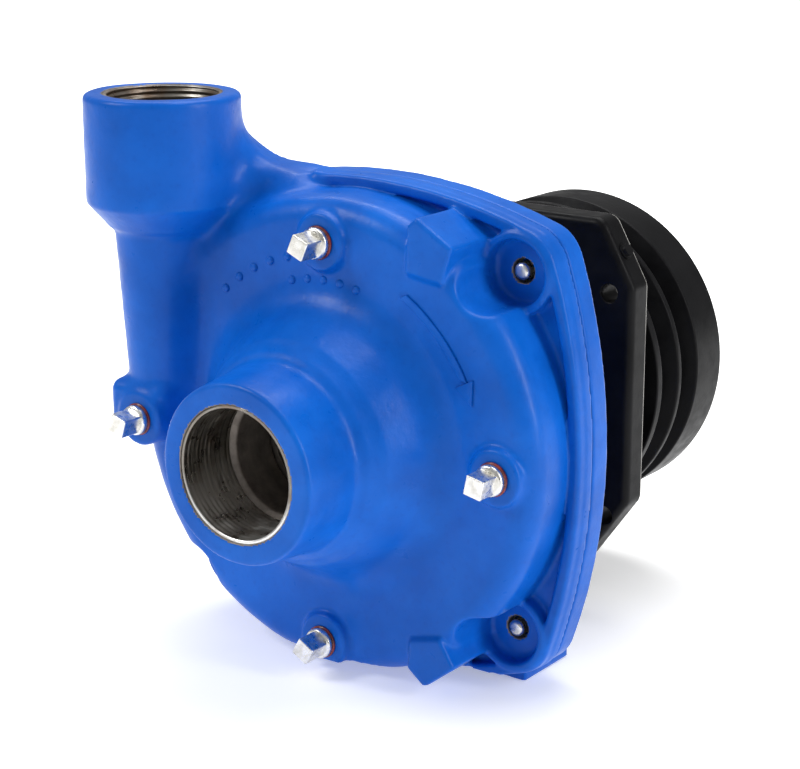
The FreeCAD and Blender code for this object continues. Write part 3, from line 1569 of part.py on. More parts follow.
def hub_rivets():
    """Headed rivets in the hub plate, passing freely through the spring plate."""
    front = dims.hub_plate_front
    seat = spring_back() + dims.hub_rivet_gap
    pieces = []
    for index, (across, height) in enumerate(circle_spots(dims.hub_rivet_circle, HUB_RIVET_DEGREES,
                                                          ARM_COUNT)):
        stem = cylinder(f"hub_rivet_stem_{index}", dims.rivet_radius, seat - front,
                        x=across, y=front, z=height)
        head = rivet_head(f"hub_rivet_head_{index}", across, seat, height)
        pieces.append(fuse(f"hub_rivet_{index}", [stem, head]))
    return group("hub_rivets", pieces)


def hub_fasteners():
    tail = dims.shaft_tail
    thickness = dims.hub_washer_thickness
    washer = turned("hub_washer", tube_profile(
        dims.hub_washer_bore, dims.hub_washer_radius, thickness, dims.hub_washer_bevel), y=tail)
    stem = cylinder("hub_bolt_stem", dims.hub_bolt_radius, dims.hub_bolt_length + thickness,
                    y=tail - dims.hub_bolt_length)
    head = hexagon("hub_bolt_head", dims.hub_bolt_head_radius, dims.hub_bolt_head_height,
                   y=tail + thickness)
    return [washer, fuse("hub_bolt", [stem, head])]


# ---------------------------------------------------------------- the whole pump

def build():
    nodes = [
        casing_gasket(), mounting_flange(), bearing_barrel(), barrel_ribs(), foot(),
        flange_screws(), pipe_plugs(),
        plug_sealant(), clutch_bracket(), lead_clamp_screw(), pulley_stub(),
        bearing_retainer(), bearing_spacer(),
        keyed_shaft(), impeller(), impeller_key(), slinger(),
        coil_shell(), lead_grommet(), pulley_rotor(), rotor_snap_ring(),
        armature_plate(), spring_plate(), armature_rivets(), armature_hub(), hub_rivets(),
    ]
    nodes += casting()
    nodes += shaft_bearing("front_bearing", dims.front_bearing_station)
    nodes += shaft_bearing("rear_bearing", dims.rear_bearing_station)
    nodes += pulley_bearing()
    nodes += impeller_fasteners()
    nodes += shaft_seal()
    nodes += coil_filling()
    nodes += sheave_rings()
    nodes += hub_fasteners()
    nodes.append(socket_screws("bracket_screws", dims.bracket_screw_circle, dims.bracket_screw_radius,
                               dims.bracket_screw_head_radius,
                               dims.support_back - BRACKET_COUNTERBORE_DEPTH,
                               dims.bracket_screw_head_height,
                               dims.support_front - dims.barrel_end_thickness, DIAGONAL_DEGREES))
    nodes.append(socket_screws("coil_screws", dims.coil_screw_circle, dims.coil_screw_radius,
                               dims.coil_screw_head_radius, dims.support_back + dims.coil_wall,
                               dims.coil_screw_head_height,
                               dims.support_back - dims.coil_screw_reach, 0))
    groove = dims.pulley_bearing_station + dims.pulley_bearing_width + dims.snap_groove_play
    nodes.append(snap_ring("stub_snap_ring", dims.stub_radius - dims.snap_groove_depth,
                           dims.stub_radius + dims.snap_ring_stand, groove, 1))
    return nodes


def check_and_write(nodes):
    doc.recompute()
    for thing in doc.Objects:
        if "Invalid" in thing.State or "Error" in thing.State:
            raise RuntimeError(f"{thing.Name} did not build: {thing.State}")
    os.makedirs("parts", exist_ok=True)
    for node in nodes:
        shape = node.Shape
        if shape.isNull() or not shape.isValid() or not shape.Solids:
            raise RuntimeError(f"{node.Label} has no valid shape")
        shape.exportStep(f"parts/{node.Label}.step")
        print(f"{node.Label:24s} {len(shape.Solids):3d} solids {shape.Volume / 1000:10.2f} cm3")
    print(len(nodes), "nodes")


check_and_write(build())
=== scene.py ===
import math

import bmesh
import bpy
import numpy as np
import openvdb
from mathutils import Matrix, Vector


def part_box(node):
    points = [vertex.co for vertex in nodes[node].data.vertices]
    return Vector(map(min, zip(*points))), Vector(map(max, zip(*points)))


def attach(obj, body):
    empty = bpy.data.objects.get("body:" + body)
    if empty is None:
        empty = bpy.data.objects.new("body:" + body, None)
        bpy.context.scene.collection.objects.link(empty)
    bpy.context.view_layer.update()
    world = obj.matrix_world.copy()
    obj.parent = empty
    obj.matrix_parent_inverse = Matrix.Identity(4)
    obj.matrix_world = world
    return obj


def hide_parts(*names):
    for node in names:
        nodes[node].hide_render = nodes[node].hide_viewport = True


# The looks of the belt-driven pump. Shapes are worked out in millimetres, with h the height
# above the shaft's axis, and turned into metres in the frame's own axes at the end.

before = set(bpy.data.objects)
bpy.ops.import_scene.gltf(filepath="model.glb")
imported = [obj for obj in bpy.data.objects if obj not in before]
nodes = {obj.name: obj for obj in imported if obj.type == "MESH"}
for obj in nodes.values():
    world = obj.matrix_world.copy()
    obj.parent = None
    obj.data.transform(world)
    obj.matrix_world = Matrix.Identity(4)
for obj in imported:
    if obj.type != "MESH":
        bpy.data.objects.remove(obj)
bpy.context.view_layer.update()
MM = 0.001


def node_span(name, axis):
    low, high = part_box(name)
    return low[axis] / MM, high[axis] / MM


AXIS_HEIGHT = sum(node_span("pump_shaft", 2)) / 2
SUCTION_FACE = node_span("volute_casing", 1)[0]
JOINT = node_span("volute_casing", 1)[1]
FLANGE_FRONT = node_span("mounting_flange", 1)[0]
MOUNT_END = node_span("bearing_barrel", 1)[1]
DISCHARGE_TOP = node_span("discharge_boss", 2)[1] - AXIS_HEIGHT
FLOOR = -AXIS_HEIGHT

BRACKET_FRONT, BRACKET_BACK = node_span("clutch_bracket", 1)
PULLEY_FRONT, PULLEY_BACK = node_span("sheave_front", 1)[0], node_span("sheave_rear", 1)[1]

# The flange that both castings share: four bulged sides, rounded corners and a screw in each.
CROWN, CORNER, CORNER_RADIUS = 93.0, 66.0, 16.0
CORNERS = [(1, 1), (-1, 1), (-1, -1), (1, -1)]
SCREW_OFFSET = 65.9
SCREWS = [(side * SCREW_OFFSET, rise * SCREW_OFFSET) for side, rise in CORNERS]
OVERRUN = 5.0  # a casting is drawn past its joint face and cut there

# The casing, in stations along the shaft, radii from it, and heights above it.
PLATE = -47.0
RIM_RADIUS = 88.5
CASING_FLANGE = JOINT - 9.0
GROOVE_FLOOR = CASING_FLANGE + 4.5
LIP_HALF = 2.3
CASING_HOLE = 4.3
CASING_GAP = 4.6
LOBE_RISE, LOBE_RADIUS, LOBE_WALL = 9.5, 94.5, 7.0
CRESCENT_RADIUS, CRESCENT_HALF = 13.2, 1.6
SPOT_RADIUS = 11.2
CASTING_EDGE = 1.4
DISCHARGE_X, DISCHARGE_Y = -75.65, -45.0
WEB = [(-84, 52), (-18, 60), (-18, 86), (-24, 91.6), (-40, 94.0), (-60, 99), (-84, 103)]
LUG_FACE = -48.6
UPPER_LUG = [(36.2, 66.0), (36.6, 83.0), (40.4, 86.2), (55.2, 77.2), (51.0, 64.0)]
LOWER_LUG = [(38.0, -68.0), (36.8, -79.0), (44.4, -84.9), (57.6, -74.4), (51.0, -64.5)]
UPPER_LUG_END, LOWER_LUG_END = -10.0, -22.0
EAR_X, EAR_H, EAR_FACE, EAR_BACK = -79.0, 0.9, -61.5, -30
EAR_HALF_WIDTH, EAR_HALF_HEIGHT = 13.8, 10.8

# The four plugs, each as x, height and the station of its boss's face.
PLUGS = [(0.0, 73.0, -50.0), (74.0, 0.0, -50.0), (0.0, -77.0, -50.0), (-76.5, -1.5, -62.5)]
PLUG_TURNS = (24, 12, 30, 18)
PLUG_BOSS_RADIUS, PLUG_BOSS_DEPTH = 10.5, 14
PLUG_HOLE = 5.2
PLUG_HALF_SQUARE = 3.6

# Raised marks on the front plate: an arrow, and rows of dots as radius, first angle and count.
ARROW_RADIUS = 67.5
ARROW_WIDTH = 2.8
ARROW_SPAN = (27.0, 60.0)
ARROW_TIP = 7
MARK_HEIGHT = 0.9
MARK_ROOT = PLATE + 1
DOT_ROWS = [(67.5, 104.0, 5), (59.0, 76.0, 5)]
DOT_STEP = 7
DOT_TOP, DOT_BASE = 1.1, 1.7

# The mounting flange, its barrel's ribs and the foot.
FLANGE_BACK = -5.0
SEAT_RADIUS = 11.5
MOUNT_HOLE = 4.2
RIB_HALF, RIB_REACH, RIB_END = 3.5, 44, 46
FOOT_HALF_WIDTH, FOOT_HALF_DEPTH, FOOT_THICKNESS = 66.5, 15, 10
FOOT_HOLE_X, FOOT_HOLE_Y, FOOT_HOLE = 50, 5, 5.5
GUSSET_X, GUSSET_HALF, GUSSET_TOP = 24, 4, -22
PILOT_RADIUS, PILOT_DEPTH = 80.0, -15.2
DRAIN_SLOT = ((-4, 3, -60), (4, 7, 0))

# The bracket plate, held on the barrel's end by a circle of screws.
BRACKET_OUTLINE = [(56, 72), (70, 47), (70, -38), (50, -66),
                   (-50, -66), (-70, -38), (-70, 47), (-56, 72)]
BRACKET_BORE = 24.0
BRACKET_CIRCLE, BRACKET_HOLE = 38, 4.0
BRACKET_SPOT, BRACKET_SPOT_DEPTH = 7.0, 8.5
COIL_CIRCLE, COIL_HOLE, COIL_HOLE_DEPTH = 36, 2.5, 8
TAB_X, TAB_H, TAB_HOLE = 60, 44, 3.4

# The pulley's two grooves, ahead of a plain band.
PULLEY_RADIUS, GROOVE_RADIUS, PULLEY_BORE = 64.5, 56.2, 55.05
GROOVE_WIDTH, GROOVE_PITCH, GROOVE_FLANK = 13.0, 15.9, 3.25
BAND_FRONT = 115.4

THREAD_PITCH, THREAD_LENGTH = 2.2, 25.0

CAST_STEP = 0.8
CAST_FACES = 196_000
BRACKET_STEP = 0.6
BRACKET_FACES = 90_000

CAMERA_PLACE = (0.4425, -0.6182, 0.3103)
CAMERA_AZIMUTH, CAMERA_ELEVATION = 35.63, 15.56
CAMERA_SENSOR, CAMERA_LENS = 36, 94.23


# ---------------------------------------------------------------- fields of signed distance

class Block:
    """A box of evenly spaced sample points; distances are negative inside the metal."""

    def __init__(self, low, high, step):
        self.step = step
        self.low = np.array(low, dtype=np.float64)
        self.lines = [np.arange(a, b + step, step, dtype=np.float32) for a, b in zip(low, high)]
        self.x = self.lines[0][:, None, None]
        self.y = self.lines[1][None, :, None]
        self.h = self.lines[2][None, None, :]

    def shape(self):
        return tuple(len(line) for line in self.lines)


def merged(first, second, soft):
    """The union of two bodies, with a fillet between them."""
    share = np.clip(0.5 + 0.5 * (second - first) / soft, 0, 1)
    return second + (first - second) * share - soft * share * (1 - share)


def carved(body, tool, soft=0.6):
    """A body with a tool taken out of it, the edge being rounded."""
    return -merged(-body, tool, soft)


def outline_distance(points, u, v):
    """Signed distance to a closed outline of straight sides."""
    nearest = None
    inside = None
    for (ax, ay), (bx, by) in zip(points, points[1:] + points[:1]):
        run, rise = bx - ax, by - ay
        if abs(run) + abs(rise) < 1e-9:
            continue
        along = np.clip(((u - ax) * run + (v - ay) * rise) / (run * run + rise * rise), 0, 1)
        square = (u - ax - run * along) ** 2 + (v - ay - rise * along) ** 2
        crossing = ((ay > v) != (by > v)) & (u < ax + run * (v - ay) / (rise or 1e-9))
        nearest = square if nearest is None else np.minimum(nearest, square)
        inside = crossing if inside is None else inside ^ crossing
    return np.where(inside, -1, 1) * np.sqrt(nearest)


def shrunk(points, amount):
    """A convex outline moved inwards by an amount."""
    area = sum(ax * by - bx * ay for (ax, ay), (bx, by) in zip(points, points[1:] + points[:1]))
    turn = 1 if area > 0 else -1
    lines = []
    for (ax, ay), (bx, by) in zip(points, points[1:] + points[:1]):
        size = math.hypot(bx - ax, by - ay)
        nx, ny = -turn * (by - ay) / size, turn * (bx - ax) / size
        lines.append((nx, ny, nx * ax + ny * ay + amount))
    corners = []
    for (a1, b1, c1), (a2, b2, c2) in zip(lines[-1:] + lines[:-1], lines):
        det = a1 * b2 - a2 * b1
        corners.append(((c1 * b2 - c2 * b1) / det, (a1 * c2 - a2 * c1) / det))
    return corners


def soft_outline(points, round_by, u, v):
    """Distance to a convex outline with rounded corners."""
    return outline_distance(shrunk(points, round_by), u, v) - round_by


TABLE_STEP = 0.25
TABLE_REACH = 150.0


def turned(block, section):
    """A body of revolution about the shaft; section gives distance from (radius, station)."""
    radii = np.arange(0, TABLE_REACH, TABLE_STEP)
    radius = np.hypot(block.lines[0][:, None], block.lines[2][None, :])
    table = section(radii[None, :], block.lines[1][:, None].astype(np.float64))
    out = np.empty(block.shape(), dtype=np.float32)
    for index, row in enumerate(table):
        out[:, index, :] = np.interp(radius, radii, row)
    return out


def turned_upright(block, section, x, y):
    """A body of revolution about a vertical line; section takes (radius, height)."""
    radii = np.arange(0, TABLE_REACH, TABLE_STEP)
    radius = np.hypot(block.lines[0][:, None] - x, block.lines[1][None, :] - y)
    table = section(radii[None, :], block.lines[2][:, None].astype(np.float64))
    out = np.empty(block.shape(), dtype=np.float32)
    for index, row in enumerate(table):
        out[:, :, index] = np.interp(radius, radii, row)
    return out


def extruded(flat, along, low, high, soft=0.0):
    """A flat shape given thickness, with its edges rounded."""
    side = flat + soft
    end = np.abs(along - (low + high) / 2) - (high - low) / 2 + soft
    inside = np.minimum(np.maximum(side, end), 0)
    return inside + np.hypot(np.maximum(side, 0), np.maximum(end, 0)) - soft


def ring_places(radius, first):
    """Four places on a circle about the shaft, the first at an angle in degrees."""
    turns = [math.radians(first + 90 * index) for index in range(4)]
    return [(radius * math.cos(turn), radius * math.sin(turn)) for turn in turns]


def drilled(block, x, h, radius):
    """An endless round bar along the shaft's direction."""
    return np.hypot(block.x - x, block.h - h) - radius


def brick(block, low, high, soft=0.0):
    """A box with rounded edges, between two corners (x, y, h)."""
    parts = []
    for line, a, b in zip((block.x, block.y, block.h), low, high):
        parts.append(np.abs(line - (a + b) / 2) - (b - a) / 2 + soft)
    outside = np.sqrt(sum(np.maximum(part, 0) ** 2 for part in parts))
    inside = np.minimum(np.maximum(np.maximum(parts[0], parts[1]), parts[2]), 0)
    return outside + inside - soft


def arc_points(centre_u, centre_v, radius, start, end, count):
    """Points along an arc, all but its last."""
    return [(centre_u + radius * math.cos(start + (end - start) * i / count),
             centre_v + radius * math.sin(start + (end - start) * i / count))
            for i in range(count)]


def flange_outline():
    """Four bulged sides, each tangent to the rounded corners beside it."""
    side_points, corner_points = 14, 10
    reach = CROWN - CORNER_RADIUS
    shift = (2 * CORNER * CORNER - reach * reach) / (2 * (reach - CORNER))
    tilt = math.atan2(CORNER, CORNER + shift)
    spot = CORNER * math.sqrt(2)
    points = []
    for quarter in range(4):
        turn = quarter * math.pi / 2
        points += arc_points(-shift * math.cos(turn), -shift * math.sin(turn), CROWN + shift,
                             turn - tilt, turn + tilt, side_points)
        diagonal = turn + math.pi / 4
        points += arc_points(spot * math.cos(diagonal), spot * math.sin(diagonal), CORNER_RADIUS,
                             turn + tilt, turn + math.pi / 2 - tilt, corner_points)
    return points


def ripple(block, amount, length):
    """The slight waviness of a sand casting."""
    k = 2 * math.pi / length
    wave = np.sin(block.x * k + 1.3) * np.sin(block.h * k * 0.83 + 0.4)
    wave = wave + 0.6 * np.sin(block.y * k * 1.31 + block.x * k * 0.57)
    wave = wave + 0.5 * np.sin(block.h * k * 1.93 - block.x * k * 1.21 + 2.1)
    return amount * wave / 2


# ---------------------------------------------------------------- meshes

def raw_mesh(name, points, faces):
    mesh = bpy.data.meshes.new(name)
    mesh.vertices.add(len(points))
    mesh.vertices.foreach_set("co", np.asarray(points, dtype=np.float32).ravel())
    corners = faces.shape[1]
    mesh.loops.add(faces.size)
    mesh.loops.foreach_set("vertex_index", faces.ravel().astype(np.int32))
    mesh.polygons.add(len(faces))
    mesh.polygons.foreach_set("loop_start", np.arange(0, faces.size, corners, dtype=np.int32))
    mesh.update(calc_edges=True)
    mesh.validate()
    return mesh


def sampled(field, spots):
    """The field's value at fractional grid places."""
    limits = np.array(field.shape) - 1.001
    spots = np.clip(spots, 0, limits)
    base = spots.astype(np.int64)
    part = spots - base
    total = np.zeros(len(spots))
    for dx in (0, 1):
        for dy in (0, 1):
            for dz in (0, 1):
                weight = (np.abs(1 - dx - part[:, 0]) * np.abs(1 - dy - part[:, 1])
                          * np.abs(1 - dz - part[:, 2]))
                total += weight * field[base[:, 0] + dx, base[:, 1] + dy, base[:, 2] + dz]
    return total


def faces_near(mesh, block, field, reach):
    """The faces whose middle lies on another field's surface, such as the bored waterway."""
    middles = np.empty(len(mesh.polygons) * 3, dtype=np.float32)
    mesh.polygons.foreach_get("center", middles)
    spots = middles.reshape(-1, 3).astype(np.float64) / MM
    spots[:, 2] -= AXIS_HEIGHT
    return np.abs(sampled(field, (spots - block.low) / block.step)) < reach


def field_mesh(name, block, field, faces):
    """The surface of a field as a mesh, thinned, with its normals taken from the field."""
    reach = block.step * 3
    field = np.ascontiguousarray(np.clip(field, -reach, reach), dtype=np.float32)
    grid = openvdb.FloatGrid(reach)
    grid.copyFromArray(field)
    points, quads = grid.convertToQuads()
    spots = np.asarray(points, dtype=np.float64) * block.step + block.low
    spots[:, 2] += AXIS_HEIGHT
    corner = [spots[quads[:, i]] for i in range(3)]
    facing = np.einsum("ij,ij->", corner[0], np.cross(corner[1], corner[2]))
    if facing < 0:
        quads = quads[:, ::-1]
    mesh = raw_mesh(name, spots * MM, np.ascontiguousarray(quads))
    if len(quads) * 2 > faces:
        helper = bpy.data.objects.new("thinning", mesh)
        bpy.context.scene.collection.objects.link(helper)
        thin = helper.modifiers.new("thin", "DECIMATE")
        thin.ratio = faces / (len(quads) * 2)
        graph = bpy.context.evaluated_depsgraph_get()
        fine = mesh
        mesh = bpy.data.meshes.new_from_object(helper.evaluated_get(graph), depsgraph=graph)
        bpy.data.objects.remove(helper)
        bpy.data.meshes.remove(fine)
        mesh.name = name
    count = len(mesh.vertices)
    places = np.empty(count * 3, dtype=np.float32)
    mesh.vertices.foreach_get("co", places)
    places = places.reshape(-1, 3).astype(np.float64) / MM
    places[:, 2] -= AXIS_HEIGHT
    places = (places - block.low) / block.step
    slope = np.empty((count, 3))
    for axis in range(3):
        shift = np.zeros(3)
        shift[axis] = 0.7
        slope[:, axis] = sampled(field, places + shift) - sampled(field, places - shift)
    slope /= np.maximum(np.linalg.norm(slope, axis=1, keepdims=True), 1e-9)
    mesh.shade_smooth()
    mesh.normals_split_custom_set_from_vertices(slope.tolist())
    return mesh


def add_lathe(bm, profile, centre, segments):
    """Turns a closed profile of (radius, station) round a line along the shaft; millimetres."""
    turn = Matrix.Rotation(-math.pi / 2, 3, "X")
    base = Vector(centre)
    rings = []
    for radius, along in profile:
        if radius < 1e-6:
            rings.append([bm.verts.new((base + turn @ Vector((0, 0, along))) * MM)])
            continue
        ring = []
        for step in range(segments):
            angle = 2 * math.pi * step / segments
            spot = Vector((radius * math.cos(angle), radius * math.sin(angle), along))
            ring.append(bm.verts.new((base + turn @ spot) * MM))
        rings.append(ring)
    for first, second in zip(rings, rings[1:] + rings[:1]):
        for step in range(segments):
            after = (step + 1) % segments
            corners = [first[step % len(first)], first[after % len(first)],
                       second[after % len(second)], second[step % len(second)]]
            unique = list(dict.fromkeys(corners))
            if len(unique) > 2:
                bm.faces.new(unique)


def add_prism(bm, outline, low, high, turn=None):
    """A flat outline in (x, z) given a thickness along the shaft; millimetres."""
    ring = [bm.verts.new(Vector((x, low, z)) * MM) for x, z in outline]
    edges = [bm.edges.new((a, b)) for a, b in zip(ring, ring[1:] + ring[:1])]
    filled = bmesh.ops.triangle_fill(bm, edges=edges, use_beauty=True)
    faces = [item for item in filled["geom"] if isinstance(item, bmesh.types.BMFace)]
    raised = bmesh.ops.extrude_face_region(bm, geom=faces, use_keep_orig=True)
    moved = [item for item in raised["geom"] if isinstance(item, bmesh.types.BMVert)]
    bmesh.ops.translate(bm, verts=moved, vec=Vector((0, (high - low) * MM, 0)))
    if turn is not None:
        bmesh.ops.transform(bm, matrix=turn, verts=list({*ring, *moved}))


def polygon(sides, radius, x=0.0, z=0.0, start=0.0):
    """The corners of a regular polygon."""
    return [(x + radius * math.cos(start + 2 * math.pi * i / sides),
             z + radius * math.sin(start + 2 * math.pi * i / sides)) for i in range(sides)]


def finished_mesh(name, bm):
    bmesh.ops.recalc_face_normals(bm, faces=bm.faces)
    mesh = bpy.data.meshes.new(name)
    bm.to_mesh(mesh)
    bm.free()
    mesh.shade_smooth()
    return mesh


def show(name, mesh, body, look, replaced, bevel=0.0, segments=2, angle=32):
    """Adds a visible piece to the body that it moves with, in place of the nodes it replaces."""
    piece = bpy.data.objects.new(name, mesh)
    bpy.context.scene.collection.objects.link(piece)
    mesh.materials.clear()
    mesh.materials.append(look)
    if bevel:
        edge = piece.modifiers.new("edges", "BEVEL")
        edge.width = bevel * MM
        edge.segments = segments
        edge.limit_method = "ANGLE"
        edge.angle_limit = math.radians(angle)
        edge.miter_outer = "MITER_ARC"
        smooth = piece.modifiers.new("normals", "WEIGHTED_NORMAL")
        smooth.keep_sharp = True
    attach(piece, body)
    if replaced:
        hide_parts(*replaced)
    return piece


# ---------------------------------------------------------------- looks

class Look:
    """Builds one node material from a few plain steps."""

    def __init__(self, name, colour, roughness, metallic=0.0):
        self.material = bpy.data.materials.new(name)
        self.material.use_nodes = True
        self.tree = self.material.node_tree
        self.shader = self.tree.nodes["Principled BSDF"]
        self.shader.inputs["Base Color"].default_value = (*colour, 1)
        self.shader.inputs["Roughness"].default_value = roughness
        self.shader.inputs["Metallic"].default_value = metallic
        self.place = self.tree.nodes.new("ShaderNodeTexCoord").outputs["Object"]
        self.height = None

    def link(self, start, end):
        self.tree.links.new(start, end)

    def noise(self, scale, detail=3.0, rough=0.55):
        node = self.tree.nodes.new("ShaderNodeTexNoise")
        node.inputs["Scale"].default_value = scale
        node.inputs["Detail"].default_value = detail
        node.inputs["Roughness"].default_value = rough
        self.link(self.place, node.inputs["Vector"])
        return node.outputs["Fac"]

    def cells(self, scale):
        node = self.tree.nodes.new("ShaderNodeTexVoronoi")
        node.inputs["Scale"].default_value = scale
        self.link(self.place, node.inputs["Vector"])
        return node.outputs["Distance"]

    def spread(self, value, low, high, from_low=0.3, from_high=0.7):
        node = self.tree.nodes.new("ShaderNodeMapRange")
        node.inputs["From Min"].default_value = from_low
        node.inputs["From Max"].default_value = from_high
        node.inputs["To Min"].default_value = low
        node.inputs["To Max"].default_value = high
        self.link(value, node.inputs["Value"])
        return node.outputs["Result"]

    def ramp(self, value, stops):
        node = self.tree.nodes.new("ShaderNodeValToRGB")
        while len(node.color_ramp.elements) < len(stops):
            node.color_ramp.elements.new(0.5)
        for element, (spot, colour) in zip(node.color_ramp.elements, stops):
            element.position = spot
            element.color = (*colour, 1)
        self.link(value, node.inputs["Fac"])
        return node.outputs["Color"]

    def mix(self, share, first, second):
        node = self.tree.nodes.new("ShaderNodeMix")
        node.data_type = "RGBA"
        self.link(share, node.inputs[0])
        for socket, value in ((node.inputs[6], first), (node.inputs[7], second)):
            if isinstance(value, tuple):
                socket.default_value = (*value, 1)
            else:
                self.link(value, socket)
        return node.outputs[2]

    def colour(self, value):
        self.link(value, self.shader.inputs["Base Color"])
        return self

    def rough(self, value):
        self.link(value, self.shader.inputs["Roughness"])
        return self

    def coat(self, weight, roughness):
        self.shader.inputs["Coat Weight"].default_value = weight
        self.shader.inputs["Coat Roughness"].default_value = roughness
        return self

    def gloss(self, level):
        self.shader.inputs["Specular IOR Level"].default_value = level
        return self

    def bump(self, value, height_mm, strength=1.0, coat=False):
        node = self.tree.nodes.new("ShaderNodeBump")
        node.inputs["Distance"].default_value = height_mm * MM
        node.inputs["Strength"].default_value = strength
        self.link(value, node.inputs["Height"])
        if self.height is not None:
            self.link(self.height, node.inputs["Normal"])
        self.height = node.outputs["Normal"]
        self.link(self.height, self.shader.inputs["Normal"])
        if coat:
            self.link(self.height, self.shader.inputs["Coat Normal"])
        return self

    def separate(self):
        node = self.tree.nodes.new("ShaderNodeSeparateXYZ")
        self.link(self.place, node.inputs["Vector"])
        return node.outputs

    def math(self, kind, first, second=0.0):
        node = self.tree.nodes.new("ShaderNodeMath")
        node.operation = kind
        for socket, value in zip(node.inputs, (first, second)):
            if isinstance(value, (int, float)):
                socket.default_value = value
            else:
                self.link(value, socket)
        return node.outputs[0]

    def radius(self):
        """Distance from the shaft's line, in metres."""
        parts = self.separate()
        across = parts["X"]
        rise = self.math("SUBTRACT", parts["Z"], AXIS_HEIGHT * MM)
        return self.math("SQRT", self.math("ADD", self.math("MULTIPLY", across, across),
                                           self.math("MULTIPLY", rise, rise)))

    def line_noise(self, value, scale, detail=2.0):
        """Noise that changes along one number only, such as the marks of a turning tool."""
        node = self.tree.nodes.new("ShaderNodeTexNoise")
        node.noise_dimensions = "1D"
        node.inputs["Scale"].default_value = scale
        node.inputs["Detail"].default_value = detail
        self.link(value, node.inputs["W"])
        return node.outputs["Fac"]


def paint_look():
    look = Look("pump_blue_paint", (0.003, 0.12, 0.60), 0.34)
    tones = [(0.32, (0.001, 0.088, 0.45)), (0.5, (0.002, 0.108, 0.53)),
             (0.68, (0.004, 0.132, 0.61))]
    tone = look.ramp(look.noise(32, 4), tones)
    look.colour(look.mix(look.spread(look.noise(420, 2), 0.0, 0.22, 0.55, 0.8),
                         tone, (0.001, 0.050, 0.36)))
    look.rough(look.spread(look.noise(150, 3), 0.27, 0.44))
    look.coat(0.05, 0.16).gloss(0.16)
    look.bump(look.noise(95, 3, 0.6), 0.35, 0.55, coat=True)
    look.bump(look.noise(520, 3, 0.62), 0.12, 0.6, coat=True)
    return look.material


def turned_iron_look(name, upright=False):
    """Bare machined iron, with tool lines and a thin brown bloom of rust; a level bore also gets a
    painted highlight on its lower side.
    """
    look = Look(name, (0.3, 0.26, 0.22), 0.34, 1.0)
    along = look.separate()["Z" if upright else "Y"]
    marks = look.line_noise(along, 900, 3)
    steel = look.ramp(marks, [(0.3, (0.13, 0.12, 0.10)), (0.5, (0.30, 0.28, 0.25)),
                              (0.7, (0.46, 0.44, 0.40))])
    if not upright:
        # painted highlight: the lower side of a level bore is mixed towards near-white, standing in
        # for a reflection
        low_end, high_end = (AXIS_HEIGHT - 19) * MM, (AXIS_HEIGHT - 3) * MM
        low = look.spread(look.separate()["Z"], 1.0, 0.0, low_end, high_end)
        steel = look.mix(low, steel, (0.95, 0.95, 0.93))
    bloom = look.spread(look.noise(60, 4, 0.65), 0.0, 0.8, 0.48, 0.72)
    look.colour(look.mix(bloom, steel, (0.23, 0.13, 0.07)))
    look.rough(look.spread(look.noise(200, 3), 0.22, 0.5))
    look.bump(marks, 0.06, 0.7)
    look.bump(look.noise(800, 2), 0.03, 0.5)
    return look.material


def zinc_look():
    look = Look("zinc_plate", (0.78, 0.77, 0.73), 0.3, 1.0)
    tones = [(0.3, (0.60, 0.58, 0.52)), (0.55, (0.82, 0.81, 0.78)), (0.75, (0.90, 0.90, 0.88))]
    look.colour(look.ramp(look.noise(260, 4), tones))
    look.rough(look.spread(look.noise(500, 3), 0.2, 0.42))
    look.bump(look.noise(900, 3), 0.05, 0.6)
    return look.material


def sealant_look():
    look = Look("thread_sealant_red", (0.16, 0.012, 0.008), 0.4)
    tones = [(0.35, (0.09, 0.006, 0.004)), (0.65, (0.26, 0.020, 0.012))]
    look.colour(look.ramp(look.noise(300, 3), tones))
    look.coat(0.4, 0.2)
    look.bump(look.noise(650, 3), 0.15, 0.8)
    return look.material


def black_look(name, band_from=None, band_to=None):
    """Satin black coating; between two stations, along its edge, it is patched with a lighter grey.
    """
    look = Look(name, (0.006, 0.006, 0.007), 0.36)
    tones = [(0.3, (0.003, 0.003, 0.0035)), (0.7, (0.009, 0.009, 0.010))]
    tone = look.ramp(look.noise(45, 4), tones)
    if band_from is not None:
        along = look.separate()["Y"]
        inside = look.math("MULTIPLY", look.math("GREATER_THAN", along, band_from * MM),
                           look.math("LESS_THAN", along, band_to * MM))
        patch = look.math("MULTIPLY", inside, look.spread(look.noise(70, 3), 0.35, 1.0, 0.35, 0.55))
        tone = look.mix(patch, tone, (0.38, 0.37, 0.35))
    look.colour(tone)
    look.rough(look.spread(look.noise(180, 4), 0.28, 0.46))
    look.gloss(0.08)
    look.bump(look.noise(700, 3), 0.05, 0.6)
    return look.material


def steel_look(name, light, dark, roughness, ring=True, marks_scale=1400):
    """Ground or turned steel whose marks run round the shaft."""
    look = Look(name, light, roughness, 1.0)
    marks = look.line_noise(look.radius() if ring else look.separate()["Y"], marks_scale, 3)
    look.colour(look.ramp(marks, [(0.3, dark), (0.7, light)]))
    look.rough(look.spread(look.noise(240, 3), roughness - 0.08, roughness + 0.12))
    look.bump(marks, 0.03, 0.6)
    look.bump(look.noise(900, 2), 0.02, 0.4)
    return look.material


def cast_look(name, light, dark, metallic, roughness):
    look = Look(name, light, roughness, metallic)
    look.colour(look.ramp(look.noise(110, 5, 0.65), [(0.3, dark), (0.7, light)]))
    look.rough(look.spread(look.noise(200, 3), roughness - 0.1, roughness + 0.1))
    look.bump(look.noise(380, 4, 0.65), 0.2, 0.8)
    return look.material


